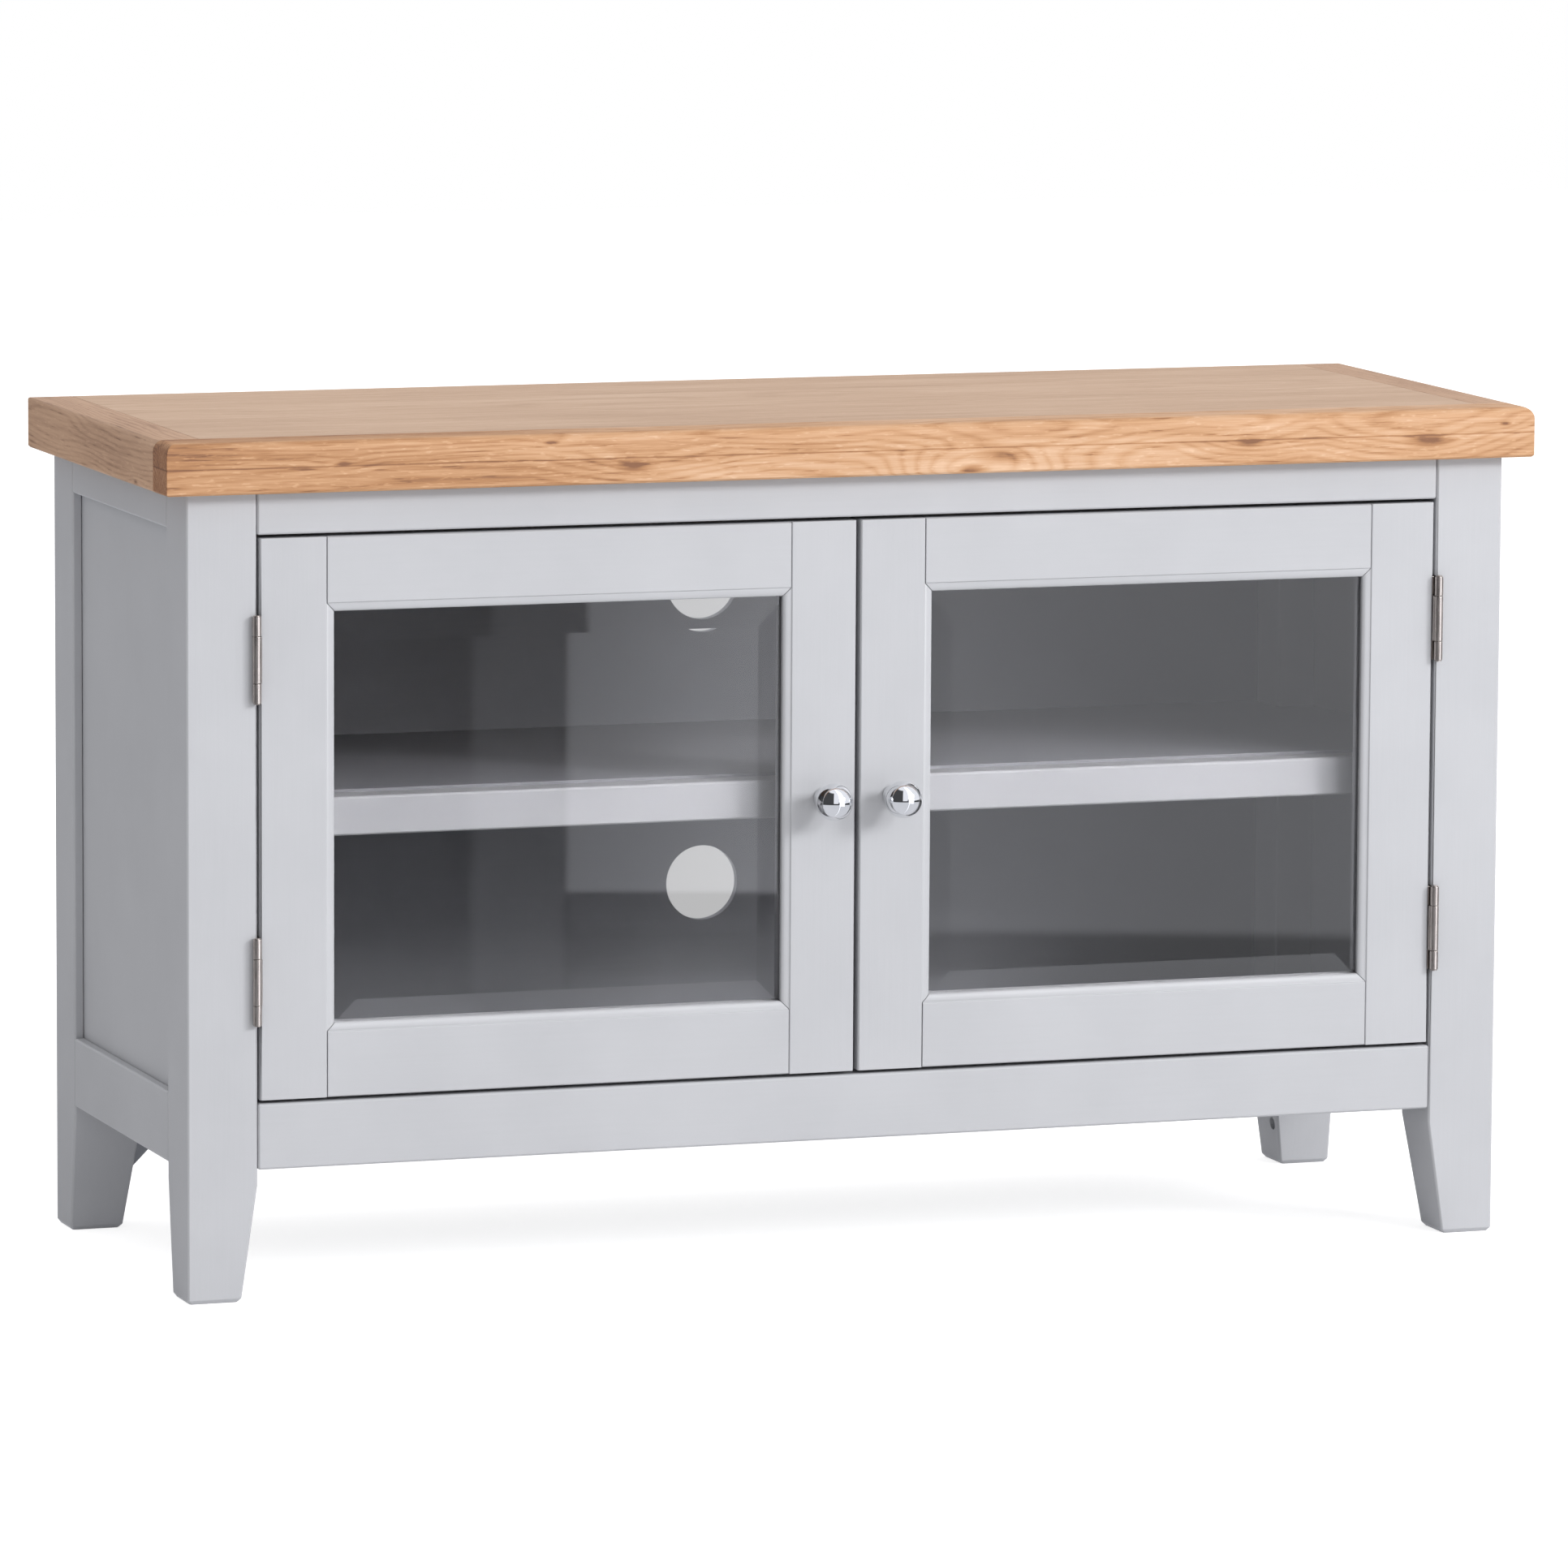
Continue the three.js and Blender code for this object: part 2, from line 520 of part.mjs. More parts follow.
// Stile: the section along Z, its moulding mitred where the rails come in.
function stile(at) {
  const section = frameSection(STILE_FLAT).map(([u, v]) => [at(u), FRONT + v]);
  const quirkZ = [DOOR_Z[0] + RAIL_FLAT, DOOR_Z[1] - RAIL_FLAT];
  const run = MOULDING_W + 1;
  const outline = [
    [at(-1), DOOR_Z[0] - 1], [at(STILE_FLAT), DOOR_Z[0] - 1], [at(STILE_FLAT), quirkZ[0]],
    [at(STILE_FLAT + run), quirkZ[0] + run], [at(STILE_FLAT + run), quirkZ[1] - run],
    [at(STILE_FLAT), quirkZ[1]], [at(STILE_FLAT), DOOR_Z[1] + 1], [at(-1), DOOR_Z[1] + 1],
  ];
  const mitred = keep(prism(section, 'z', ...DOOR_Z), prism(outline, 'y', FRONT - 1, DOOR_BACK + 1));
  const mortiseX = [at(STILE_FLAT + 1), at(STILE_FLAT - DOOR_TENON_L - 1)];
  return cut(mitred, ...DOOR_TENON_Z.map((zs) => block(mortiseX, grown(DOOR_TENON_Y), grown(zs))));
}

// Rail: the section along X between the stiles, with mitred moulding. Behind the lip it
// runs on to the stiles' rebates, and a tenon goes on into each stile.
function doorRail(s, outer, up) {
  const ends = [DOOR_LOCK_EDGE + STILE_FLAT + FIT, DOOR_HINGE_EDGE - STILE_FLAT - FIT];
  const section = frameSection(RAIL_FLAT).map(([u, v]) => [FRONT + v, outer + up * u]);
  const quirk = outer + up * RAIL_FLAT;
  const run = MOULDING_W + 1;
  const outline = [
    [ends[0], outer - up], [ends[1], outer - up], [ends[1], quirk],
    [ends[1] - run, quirk + up * run], [ends[0] + run, quirk + up * run], [ends[0], quirk],
  ].map(([a, z]) => [s * a, z]);
  const across = (extra) => [s * (ends[0] - extra), s * (ends[1] + extra)];
  const front = keep(prism(section, 'x', ...across(0)), prism(outline, 'y', FRONT - 1, DOOR_BACK + 1));
  const shoulder = block(across(REBATE_FROM_FLAT), [FRONT + LIP_BACK + FIT, DOOR_BACK],
    [outer, quirk - up * REBATE_FROM_FLAT]);
  const tenon = block(across(DOOR_TENON_L), DOOR_TENON_Y, DOOR_TENON_Z[up > 0 ? 0 : 1]);
  return join(front, shoulder, tenon);
}

// Glass with a wide bevel on its front, down to a thin edge.
function bevelledGlass(s) {
  const a = [SIGHT_A[0] - GLASS_OVERLAP.side, SIGHT_A[1] + GLASS_OVERLAP.side];
  const z = [SIGHT_Z[0] - GLASS_OVERLAP.bottom, SIGHT_Z[1] + GLASS_OVERLAP.top];
  const face = FRONT + GLASS_FACE;
  const levels = [[face, GLASS_BEVEL], [face + GLASS_T - GLASS_EDGE_T, 0], [face + GLASS_T, 0]];
  const points = levels.flatMap(([y, inset]) => [
    [a[0] + inset, z[0] + inset], [a[1] - inset, z[0] + inset],
    [a[1] - inset, z[1] - inset], [a[0] + inset, z[1] - inset],
  ].map(([u, w]) => new THREE.Vector3(s * u, y, w)));
  return new ConvexGeometry(points);
}

// Four square beads behind the glass, with one rounded corner towards the room inside.
function glazingBeads(s) {
  const rebateA = [SIGHT_A[0] - REBATE_W + FIT, SIGHT_A[1] + REBATE_W - FIT];
  const rebateZ = [SIGHT_Z[0] - REBATE_W + FIT, SIGHT_Z[1] + REBATE_W - FIT];
  const y = [FRONT + GLASS_FACE + GLASS_T + FIT, FRONT + GLASS_FACE + GLASS_T + FIT + BEAD_T];
  const span = [s * rebateA[0], s * rebateA[1]];
  const between = [rebateZ[0] + BEAD + GLUE, rebateZ[1] - BEAD - GLUE];
  return {
    bottom: easedBlock(span, y, [rebateZ[0], rebateZ[0] + BEAD], 0.8),
    top: easedBlock(span, y, [rebateZ[1] - BEAD, rebateZ[1]], 0.8),
    lock: easedBlock([s * rebateA[0], s * (rebateA[0] + BEAD)], y, between, 0.8),
    hinge: easedBlock([s * (rebateA[1] - BEAD), s * rebateA[1]], y, between, 0.8),
  };
}

// Turned knob: a small flared foot, a hollow neck and a ball, drawn as (radius, reach).
function knob() {
  const profile = [[0, 0], [KNOB_FOOT_R, 0], [KNOB_FOOT_R, 1.6], [5.4, 2.6], [4.7, 4.4], [4.5, 6.6]];
  const ballAt = KNOB_REACH - KNOB_BALL_R;
  const neck = Math.asin(5.2 / KNOB_BALL_R);
  const steps = 14;
  for (let step = 0; step < steps; step += 1) {
    const angle = neck + (step / steps) * (Math.PI - neck);
    profile.push([KNOB_BALL_R * Math.sin(angle), ballAt - KNOB_BALL_R * Math.cos(angle)]);
  }
  profile.push([0, KNOB_REACH]);
  const points = profile.map(([r, reach]) => new THREE.Vector2(r, reach));
  return new THREE.LatheGeometry(points, 32).rotateX(Math.PI);
}

function buildDoor(side, s) {
  const group = new THREE.Group();
  const name = (piece) => `${side}_door_${piece}`;
  const fromHinge = (distance) => s * (DOOR_HINGE_EDGE - distance);
  const fromLock = (distance) => s * (DOOR_LOCK_EDGE + distance);
  const gains = hingeLevels.map(([, z]) => block([fromHinge(-1), fromHinge(LEAF_T / 2)],
    [FRONT - 1, FRONT + LEAF_D + FIT], [z - HINGE_H / 2 - FIT, z + HINGE_H / 2 + FIT]));
  place(group, name('hinge_stile'), cut(stile(fromHinge), ...gains), paint());
  place(group, name('lock_stile'), stile(fromLock), paint());
  place(group, name('top_rail'), doorRail(s, DOOR_Z[1], -1), paint());
  place(group, name('bottom_rail'), doorRail(s, DOOR_Z[0], 1), paint());
  place(group, name('glass'), bevelledGlass(s), clearGlass());
  for (const [where, geometry] of Object.entries(glazingBeads(s))) {
    place(group, name(`${where}_bead`), geometry, paint());
  }
  const knobAt = [fromLock(STILE_FLAT / 2), FRONT - GLUE, DOOR_MIDDLE];
  place(group, name('knob'), knob().translate(...knobAt), chrome());
  for (const [level, z] of hingeLevels) {
    const spans = hingeSpans(z);
    place(group, `${side}_${level}_hinge_door_leaf`, leaf(s, DOOR_LEAF_X, spans, spans.middle), nickel());
  }
  const strikeY = [DOOR_BACK + GLUE, DOOR_BACK + GLUE + 1.5];
  const strike = easedBlock([s * 5, s * 20], strikeY, [DOOR_Z[1] - 16, DOOR_Z[1] - 3], 0.3);
  place(group, name('strike_plate'), strike, nickel());
  return group;
}

// ---------------------------------------------------------------- the cabinet
const cabinet = new THREE.Group();
cabinet.add(buildTop(), buildCarcass(), buildFixedHinges());
for (const [side, s] of sides) cabinet.add(buildDoor(side, s));

export default cabinet;
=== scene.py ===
import math

import bmesh
import bpy
from mathutils import Matrix, Vector


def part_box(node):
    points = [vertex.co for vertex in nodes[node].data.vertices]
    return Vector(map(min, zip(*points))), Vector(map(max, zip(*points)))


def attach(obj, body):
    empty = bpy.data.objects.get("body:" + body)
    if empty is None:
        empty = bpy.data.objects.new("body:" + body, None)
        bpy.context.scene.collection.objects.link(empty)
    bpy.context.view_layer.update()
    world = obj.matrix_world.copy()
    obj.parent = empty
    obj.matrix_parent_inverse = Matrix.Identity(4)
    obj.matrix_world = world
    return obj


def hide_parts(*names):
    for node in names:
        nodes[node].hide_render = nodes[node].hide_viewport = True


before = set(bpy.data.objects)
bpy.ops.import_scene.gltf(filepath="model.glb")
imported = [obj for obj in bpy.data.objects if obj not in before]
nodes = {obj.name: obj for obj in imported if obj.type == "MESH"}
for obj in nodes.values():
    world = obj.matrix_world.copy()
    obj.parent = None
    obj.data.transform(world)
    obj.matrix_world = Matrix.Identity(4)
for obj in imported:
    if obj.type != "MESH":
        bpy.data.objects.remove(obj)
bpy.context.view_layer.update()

SIDES = (("left", -1), ("right", 1))

# ---------------------------------------------------------------- camera
# A long lens a little above the top, to the left of the doors.
VIEW_AZIMUTH = math.radians(-19.28)
VIEW_ELEVATION = math.radians(7.53)
VIEW_ROLL = math.radians(0.318)
VIEW_DISTANCE = 5.911
AIM = Vector((0.0033, 0.009, 0.2699))
SENSOR_WIDTH = 36
FOCAL_LENGTH = 226.2

back = Vector((
    math.sin(VIEW_AZIMUTH) * math.cos(VIEW_ELEVATION),
    -math.cos(VIEW_AZIMUTH) * math.cos(VIEW_ELEVATION),
    math.sin(VIEW_ELEVATION),
))
level = back.cross(Vector((0, 0, -1))).normalized()
upright = back.cross(level)
right = level * math.cos(VIEW_ROLL) + upright * math.sin(VIEW_ROLL)
up = upright * math.cos(VIEW_ROLL) - level * math.sin(VIEW_ROLL)
camera = bpy.data.objects.new("camera", bpy.data.cameras.new("camera"))
camera.data.sensor_width = SENSOR_WIDTH
camera.data.lens = FOCAL_LENGTH
camera.data.clip_end = 100
turned_to_view = Matrix((right, up, back)).transposed().to_4x4()
camera.matrix_world = Matrix.Translation(AIM + back * VIEW_DISTANCE) @ turned_to_view
bpy.context.scene.collection.objects.link(camera)
bpy.context.scene.camera = camera

# ---------------------------------------------------------------- posts
# Four square legs of painted hardwood, tapered on their inner faces. They are planed,
# sanded and sprayed, so every arris is softly rounded and the grain just shows.
PAINT_TINT = "#B0B1B5"
PAINT_SHADE = "#ABACB0"
PAINT_DRIFT = 14                 # patterns are in repeats a metre: a patch every 70 mm
PAINT_GRAIN = 420                # a grain line every 2.4 mm
PAINT_STIPPLE = 900              # a dimple every 1.1 mm
PAINT_RELIEF = 0.00012
ARRIS = 0.0004                   # how far an edge is rubbed back
FINE_ARRIS = 0.0003


def linear(hex_colour):
    """An sRGB hex colour as linear RGBA."""
    channels = [int(hex_colour[i:i + 2], 16) / 255 for i in (1, 3, 5)]
    return (*[c / 12.92 if c <= 0.04045 else ((c + 0.055) / 1.055) ** 2.4 for c in channels], 1.0)


def add(tree, kind, settings=None, **sockets):
    """Adds a node with its settings; a socket gets a link or a value. An index is written _0, _1..."""
    node = tree.nodes.new(kind)
    for key, value in (settings or {}).items():
        setattr(node, key, value)
    for key, value in sockets.items():
        socket = node.inputs[int(key[1:]) if key[1:].isdigit() else key.replace("_", " ")]
        if isinstance(value, bpy.types.NodeSocket):
            tree.links.new(value, socket)
        else:
            socket.default_value = value
    return node


def new_material(name):
    """A material with an empty node tree and its output node."""
    material = bpy.data.materials.new(name)
    material.use_nodes = True
    material.node_tree.nodes.clear()
    return material, material.node_tree, material.node_tree.nodes.new("ShaderNodeOutputMaterial")


def stretched(tree, along, ratio, offset=(0, 0, 0)):
    """Object coordinates squeezed along one axis, so that a pattern runs long that way."""
    scale = [1.0, 1.0, 1.0]
    scale["xyz".index(along)] = ratio
    place = add(tree, "ShaderNodeTexCoord").outputs["Object"]
    return add(tree, "ShaderNodeMapping", Vector=place, Scale=scale, Location=offset).outputs[0]


def satin_paint(name, along, tint, shade):
    # Sprayed satin acrylic over primed wood: a soft broad gloss, a faint drift of tone,
    # and shallow lines where the wood's grain shows through, along each stick.
    material, tree, output = new_material(name)
    grain_place = stretched(tree, along, 0.035)
    plain_place = add(tree, "ShaderNodeTexCoord").outputs["Object"]
    drift = add(tree, "ShaderNodeTexNoise", Vector=plain_place, Scale=PAINT_DRIFT, Detail=3)
    grain = add(
        tree, "ShaderNodeTexNoise", Vector=grain_place, Scale=PAINT_GRAIN, Detail=4, Roughness=0.65,
    )
    stipple = add(tree, "ShaderNodeTexNoise", Vector=plain_place, Scale=PAINT_STIPPLE, Detail=2)
    tone = add(
        tree, "ShaderNodeMath", {"operation": "MULTIPLY_ADD"},
        _0=grain.outputs[0], _1=0.35, _2=drift.outputs[0],
    )
    ramp = add(tree, "ShaderNodeValToRGB", Fac=tone.outputs[0])
    ramp.color_ramp.elements[0].position = 0.45
    ramp.color_ramp.elements[0].color = linear(shade)
    ramp.color_ramp.elements[1].position = 0.9
    ramp.color_ramp.elements[1].color = linear(tint)
    gloss = add(tree, "ShaderNodeMapRange", Value=grain.outputs[0], To_Min=0.36, To_Max=0.5)
    relief = add(
        tree, "ShaderNodeMath", {"operation": "MULTIPLY_ADD"},
        _0=stipple.outputs[0], _1=0.35, _2=grain.outputs[0],
    )
    bump = add(tree, "ShaderNodeBump", Height=relief.outputs[0], Strength=0.35, Distance=PAINT_RELIEF)
    shader = add(
        tree, "ShaderNodeBsdfPrincipled", Base_Color=ramp.outputs[0], Roughness=gloss.outputs[0],
        Normal=bump.outputs[0], IOR=1.48,
    )
    tree.links.new(shader.outputs[0], output.inputs[0])
    return material


paint = {axis: satin_paint(f"satin_grey_paint_{axis}", axis, PAINT_TINT, PAINT_SHADE) for axis in "xyz"}


def softened(node, material, width=ARRIS, body="root", angle=30):
    """A copy of a CAD node with its points merged, its flats joined and its edges rounded."""
    mesh = nodes[node].data.copy()
    shape = bmesh.new()
    shape.from_mesh(mesh)
    bmesh.ops.remove_doubles(shape, verts=shape.verts, dist=0.00001)
    bmesh.ops.dissolve_limit(shape, angle_limit=math.radians(1), verts=shape.verts, edges=shape.edges)
    shape.to_mesh(mesh)
    shape.free()
    mesh.materials.clear()
    mesh.materials.append(material)
    mesh.shade_smooth()
    mesh.set_sharp_from_angle(angle=math.radians(angle))
    piece = bpy.data.objects.new(f"{node}_finished", mesh)
    bpy.context.scene.collection.objects.link(piece)
    rounding = piece.modifiers.new("rounding", "BEVEL")
    rounding.width = width
    rounding.segments = 2
    rounding.limit_method = "ANGLE"
    rounding.angle_limit = math.radians(angle)
    rounding.use_clamp_overlap = False
    rounding.harden_normals = True
    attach(piece, body)
    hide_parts(node)
    return piece


for side, s in SIDES:
    softened(f"front_{side}_post", paint["z"])
    softened(f"rear_{side}_post", paint["z"])

# ---------------------------------------------------------------- rails
# Eight painted rails tenoned between the posts. Each shoulder leaves a hairline joint,
# because every stick was rounded before it was glued up.
for end in ("front", "rear"):
    softened(f"{end}_top_rail", paint["x"])
    softened(f"{end}_bottom_rail", paint["x"])
for side, s in SIDES:
    softened(f"{side}_side_top_rail", paint["y"])
    softened(f"{side}_side_bottom_rail", paint["y"])

# ---------------------------------------------------------------- side panels
# Flat painted boards that float in grooves in the posts and rails, free to move as
# the air dries them.
for side, s in SIDES:
    softened(f"{side}_side_panel", paint["z"])

# ---------------------------------------------------------------- back
# A thin board let into the rear posts, with two holes bored for cables. Its grey is
# painted darker than the frame's: painted shade, standing for the shade inside the cabinet.
shade_darkened_grey = satin_paint("shade_darkened_grey_paint", "x", "#86878C", "#7E7F84")
softened("back_panel", shade_darkened_grey, width=FINE_ARRIS)

# ---------------------------------------------------------------- bottom board and shelf
# Boards notched round the posts. The shelf board has the back's darker grey, painted
# shade for the shade inside the cabinet, and a thicker lipping in the frame's paint glued
# along its front, a hair lower, which leaves a fine step.
softened("bottom_board", paint["x"])
softened("shelf_board", shade_darkened_grey)
softened("shelf_front_edge", paint["x"])

# ---------------------------------------------------------------- knee braces
# Two triangular blocks glued and screwed under the rear rail. Their grey is painted
# darker than the frame: painted shade, for the shade they stand in at the back.
brace_paint_with_painted_shade = satin_paint("shade_darkened_brace_grey", "x", "#A0A2A9", "#94969D")
for side, s in SIDES:
    softened(f"rear_{side}_knee_brace", brace_paint_with_painted_shade)

# ---------------------------------------------------------------- door frames
# Stiles and rails, mortised and tenoned, with an ovolo moulding mitred at each corner
# and a rebate behind it for the glass.
for side, s in SIDES:
    body = f"{side}_door"
    softened(f"{side}_door_hinge_stile", paint["z"], body=body, width=FINE_ARRIS)
    softened(f"{side}_door_lock_stile", paint["z"], body=body, width=FINE_ARRIS)
    softened(f"{side}_door_top_rail", paint["x"], body=body, width=FINE_ARRIS)
    softened(f"{side}_door_bottom_rail", paint["x"], body=body, width=FINE_ARRIS)

# ---------------------------------------------------------------- glass
# Clear float glass, ground and polished to a wide bevel on its front. It beds against
# the moulding's rebate, and the beads hold it there.
GLASS_SMEAR = 30                 # repeats a metre: a smear every 33 mm


def polished_glass(name):
    # Float glass, polished: clear, with mirror-sharp weak reflections. Lamps shine
    # through it, so what stands behind it is lit.
    material, tree, output = new_material(name)
    place = add(tree, "ShaderNodeTexCoord").outputs["Object"]
    smear = add(tree, "ShaderNodeTexNoise", Vector=place, Scale=GLASS_SMEAR, Detail=4)
    gloss = add(
        tree, "ShaderNodeMapRange", Value=smear.outputs[0],
        From_Min=0.5, From_Max=0.8, To_Min=0.0, To_Max=0.004,
    )
    clear = add(
        tree, "ShaderNodeBsdfPrincipled", Base_Color=linear("#F8F8F9"), Roughness=gloss.outputs[0],
        IOR=1.5, Transmission_Weight=1.0,
    )
    open_way = add(tree, "ShaderNodeBsdfTransparent", Color=linear("#FBFAFA"))
    path = add(tree, "ShaderNodeLightPath")
    mixed = add(
        tree, "ShaderNodeMixShader", _0=path.outputs["Is Shadow Ray"],
        _1=clear.outputs[0], _2=open_way.outputs[0],
    )
    tree.links.new(mixed.outputs[0], output.inputs[0])
    return material


glass = polished_glass("polished_float_glass")
for side, s in SIDES:
    nodes[f"{side}_door_glass"].material_slots[0].material = glass

# ---------------------------------------------------------------- glazing beads
# Square painted beads, cut to fit the rebate and pinned behind the glass, so that a
# broken pane can be changed.
for side, s in SIDES:
    for where, along in (("top", "x"), ("bottom", "x"), ("lock", "z"), ("hinge", "z")):
        softened(f"{side}_door_{where}_bead", paint[along], body=f"{side}_door")

# ---------------------------------------------------------------- hinges
# Solid drawn butt hinges, nickel plated: two leaves let in flush between post and door,
# and three knuckles proud of the front, round a pin with domed ends.
DRAWN_LINES = 2500               # repeats a metre: a drawing line every 0.4 mm
LEAF_ARRIS = 0.00025
PIN_ARRIS = 0.0001


def satin_nickel_plate(name):
    # Nickel plate on drawn steel: warm grey, with fine drawing lines along the barrel.
    material, tree, output = new_material(name)
    lines = add(tree, "ShaderNodeTexNoise", Vector=stretched(tree, "z", 0.03), Scale=DRAWN_LINES, Detail=3)
    ramp = add(tree, "ShaderNodeValToRGB", Fac=lines.outputs[0])
    ramp.color_ramp.elements[0].position = 0.3
    ramp.color_ramp.elements[0].color = linear("#A9A09B")
    ramp.color_ramp.elements[1].position = 0.7
    ramp.color_ramp.elements[1].color = linear("#CFC7C1")
    gloss = add(tree, "ShaderNodeMapRange", Value=lines.outputs[0], To_Min=0.2, To_Max=0.36)
    bump = add(tree, "ShaderNodeBump", Height=lines.outputs[0], Strength=0.3, Distance=0.00003)
    shader = add(
        tree, "ShaderNodeBsdfPrincipled", Base_Color=ramp.outputs[0], Metallic=1.0,
        Roughness=gloss.outputs[0], Normal=bump.outputs[0],
    )
    tree.links.new(shader.outputs[0], output.inputs[0])
    return material


nickel = satin_nickel_plate("satin_nickel_plate")
for side, s in SIDES:
    for level_name in ("upper", "lower"):
        hinge = f"{side}_{level_name}_hinge"
        softened(f"{hinge}_post_leaf", nickel, LEAF_ARRIS)
        softened(f"{hinge}_pin", nickel, PIN_ARRIS)
        softened(f"{hinge}_door_leaf", nickel, LEAF_ARRIS, f"{side}_door")

# ---------------------------------------------------------------- knobs
# Turned brass, polished and chromium plated: a small foot, a hollow neck and a ball.
# A machine screw through the stile holds each one from behind.
KNOB_TURNINGS = 72
KNOB_FOOT = ((0.0, 0.0), (0.0056, 0.0), (0.006, 0.0004), (0.006, 0.0014), (0.0055, 0.0024), (0.0047, 0.0042))
KNOB_NECK = ((0.00445, 0.0054), (0.00452, 0.0064))
KNOB_BALL = 0.011
KNOB_BALL_STEPS = 28


def polished_chrome(name):
    # Bright chromium plate on turned brass: a near-perfect mirror, with the faintest
    # handling haze.
    material, tree, output = new_material(name)
    place = add(tree, "ShaderNodeTexCoord").outputs["Object"]
    haze = add(tree, "ShaderNodeTexNoise", Vector=place, Scale=160, Detail=3)
    gloss = add(tree, "ShaderNodeMapRange", Value=haze.outputs[0], To_Min=0.01, To_Max=0.05)
    tint = add(tree, "ShaderNodeValToRGB", Fac=haze.outputs[0])
    tint.color_ramp.elements[0].color = linear("#E6E8EB")
    tint.color_ramp.elements[1].color = linear("#F4F4F5")
    shader = add(
        tree, "ShaderNodeBsdfPrincipled", Base_Color=tint.outputs[0], Metallic=1.0,
        Roughness=gloss.outputs[0],
    )
    tree.links.new(shader.outputs[0], output.inputs[0])
    return material


def turned(name, profile, centre_x, back_y, centre_z, steps):
    """A solid of revolution about a line that runs forward; the profile is (radius, reach)."""
    shape = bmesh.new()
    rings = []
    for radius, reach in profile:
        if radius < 0.00001:
            rings.append([shape.verts.new((centre_x, back_y - reach, centre_z))])
            continue
        turns = [2 * math.pi * k / steps for k in range(steps)]
        rings.append([
            shape.verts.new((
                centre_x + radius * math.cos(t), back_y - reach, centre_z + radius * math.sin(t),
            ))
            for t in turns
        ])
    for inner, outer in zip(rings, rings[1:]):
        for k in range(steps):
            corners = [inner[k % len(inner)], inner[(k + 1) % len(inner)]]
            corners += [outer[(k + 1) % len(outer)], outer[k % len(outer)]]
            shape.faces.new(list(dict.fromkeys(corners)))
    bmesh.ops.recalc_face_normals(shape, faces=shape.faces)
    mesh = bpy.data.meshes.new(name)
    shape.to_mesh(mesh)
    shape.free()
    mesh.shade_smooth()
    mesh.set_sharp_from_angle(angle=math.radians(35))
    piece = bpy.data.objects.new(name, mesh)
    bpy.context.scene.collection.objects.link(piece)
    return piece


chrome = polished_chrome("polished_chrome_plate")
for side, s in SIDES:
    low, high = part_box(f"{side}_door_knob")
    reach = high[1] - low[1]
    ball_at = reach - KNOB_BALL
    neck = math.asin(KNOB_NECK[-1][0] / KNOB_BALL)
    ball = [neck + (math.pi - neck) * k / KNOB_BALL_STEPS for k in range(1, KNOB_BALL_STEPS)]
    profile = [*KNOB_FOOT, *KNOB_NECK]
    profile += [(KNOB_BALL * math.sin(a), ball_at - KNOB_BALL * math.cos(a)) for a in ball]
    profile.append((0.0, reach))
    centre_x, centre_z = (low[0] + high[0]) / 2, (low[2] + high[2]) / 2
    knob = turned(f"{side}_door_knob_turned", profile, centre_x, high[1], centre_z, KNOB_TURNINGS)
    knob.data.materials.append(chrome)
    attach(knob, f"{side}_door")
    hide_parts(f"{side}_door_knob")

# ---------------------------------------------------------------- catch and strike plates
# A double magnetic catch in a nylon case, screwed behind the front top rail, with a
# steel pole plate for each door; a pressed plate on each door meets it.
def moulded_plastic(name):
    # Injection-moulded nylon, off white, with a fine spark-eroded grain.
    material, tree, output = new_material(name)
    place = add(tree, "ShaderNodeTexCoord").outputs["Object"]
    grain = add(tree, "ShaderNodeTexNoise", Vector=place, Scale=1500, Detail=2)
    ramp = add(tree, "ShaderNodeValToRGB", Fac=grain.outputs[0])
    ramp.color_ramp.elements[0].color = linear("#DAD9D4")
    ramp.color_ramp.elements[1].color = linear("#EFEEEA")
    bump = add(tree, "ShaderNodeBump", Height=grain.outputs[0], Strength=0.3, Distance=0.00005)
    shader = add(
        tree, "ShaderNodeBsdfPrincipled", Base_Color=ramp.outputs[0], Roughness=0.4,
        Normal=bump.outputs[0], IOR=1.53,
    )
    tree.links.new(shader.outputs[0], output.inputs[0])
    return material


def bright_zinc_plate(name):
    # Bright zinc plate on pressed steel: cool grey, cloudy, with a soft shine.
    material, tree, output = new_material(name)
    place = add(tree, "ShaderNodeTexCoord").outputs["Object"]
    clouds = add(tree, "ShaderNodeTexNoise", Vector=place, Scale=350, Detail=4)
    ramp = add(tree, "ShaderNodeValToRGB", Fac=clouds.outputs[0])
    ramp.color_ramp.elements[0].position = 0.35
    ramp.color_ramp.elements[0].color = linear("#A3A8AE")
    ramp.color_ramp.elements[1].position = 0.7
    ramp.color_ramp.elements[1].color = linear("#C9CCCF")
    gloss = add(tree, "ShaderNodeMapRange", Value=clouds.outputs[0], To_Min=0.24, To_Max=0.42)
    shader = add(
        tree, "ShaderNodeBsdfPrincipled", Base_Color=ramp.outputs[0], Metallic=1.0,
        Roughness=gloss.outputs[0],
    )
    tree.links.new(shader.outputs[0], output.inputs[0])
    return material


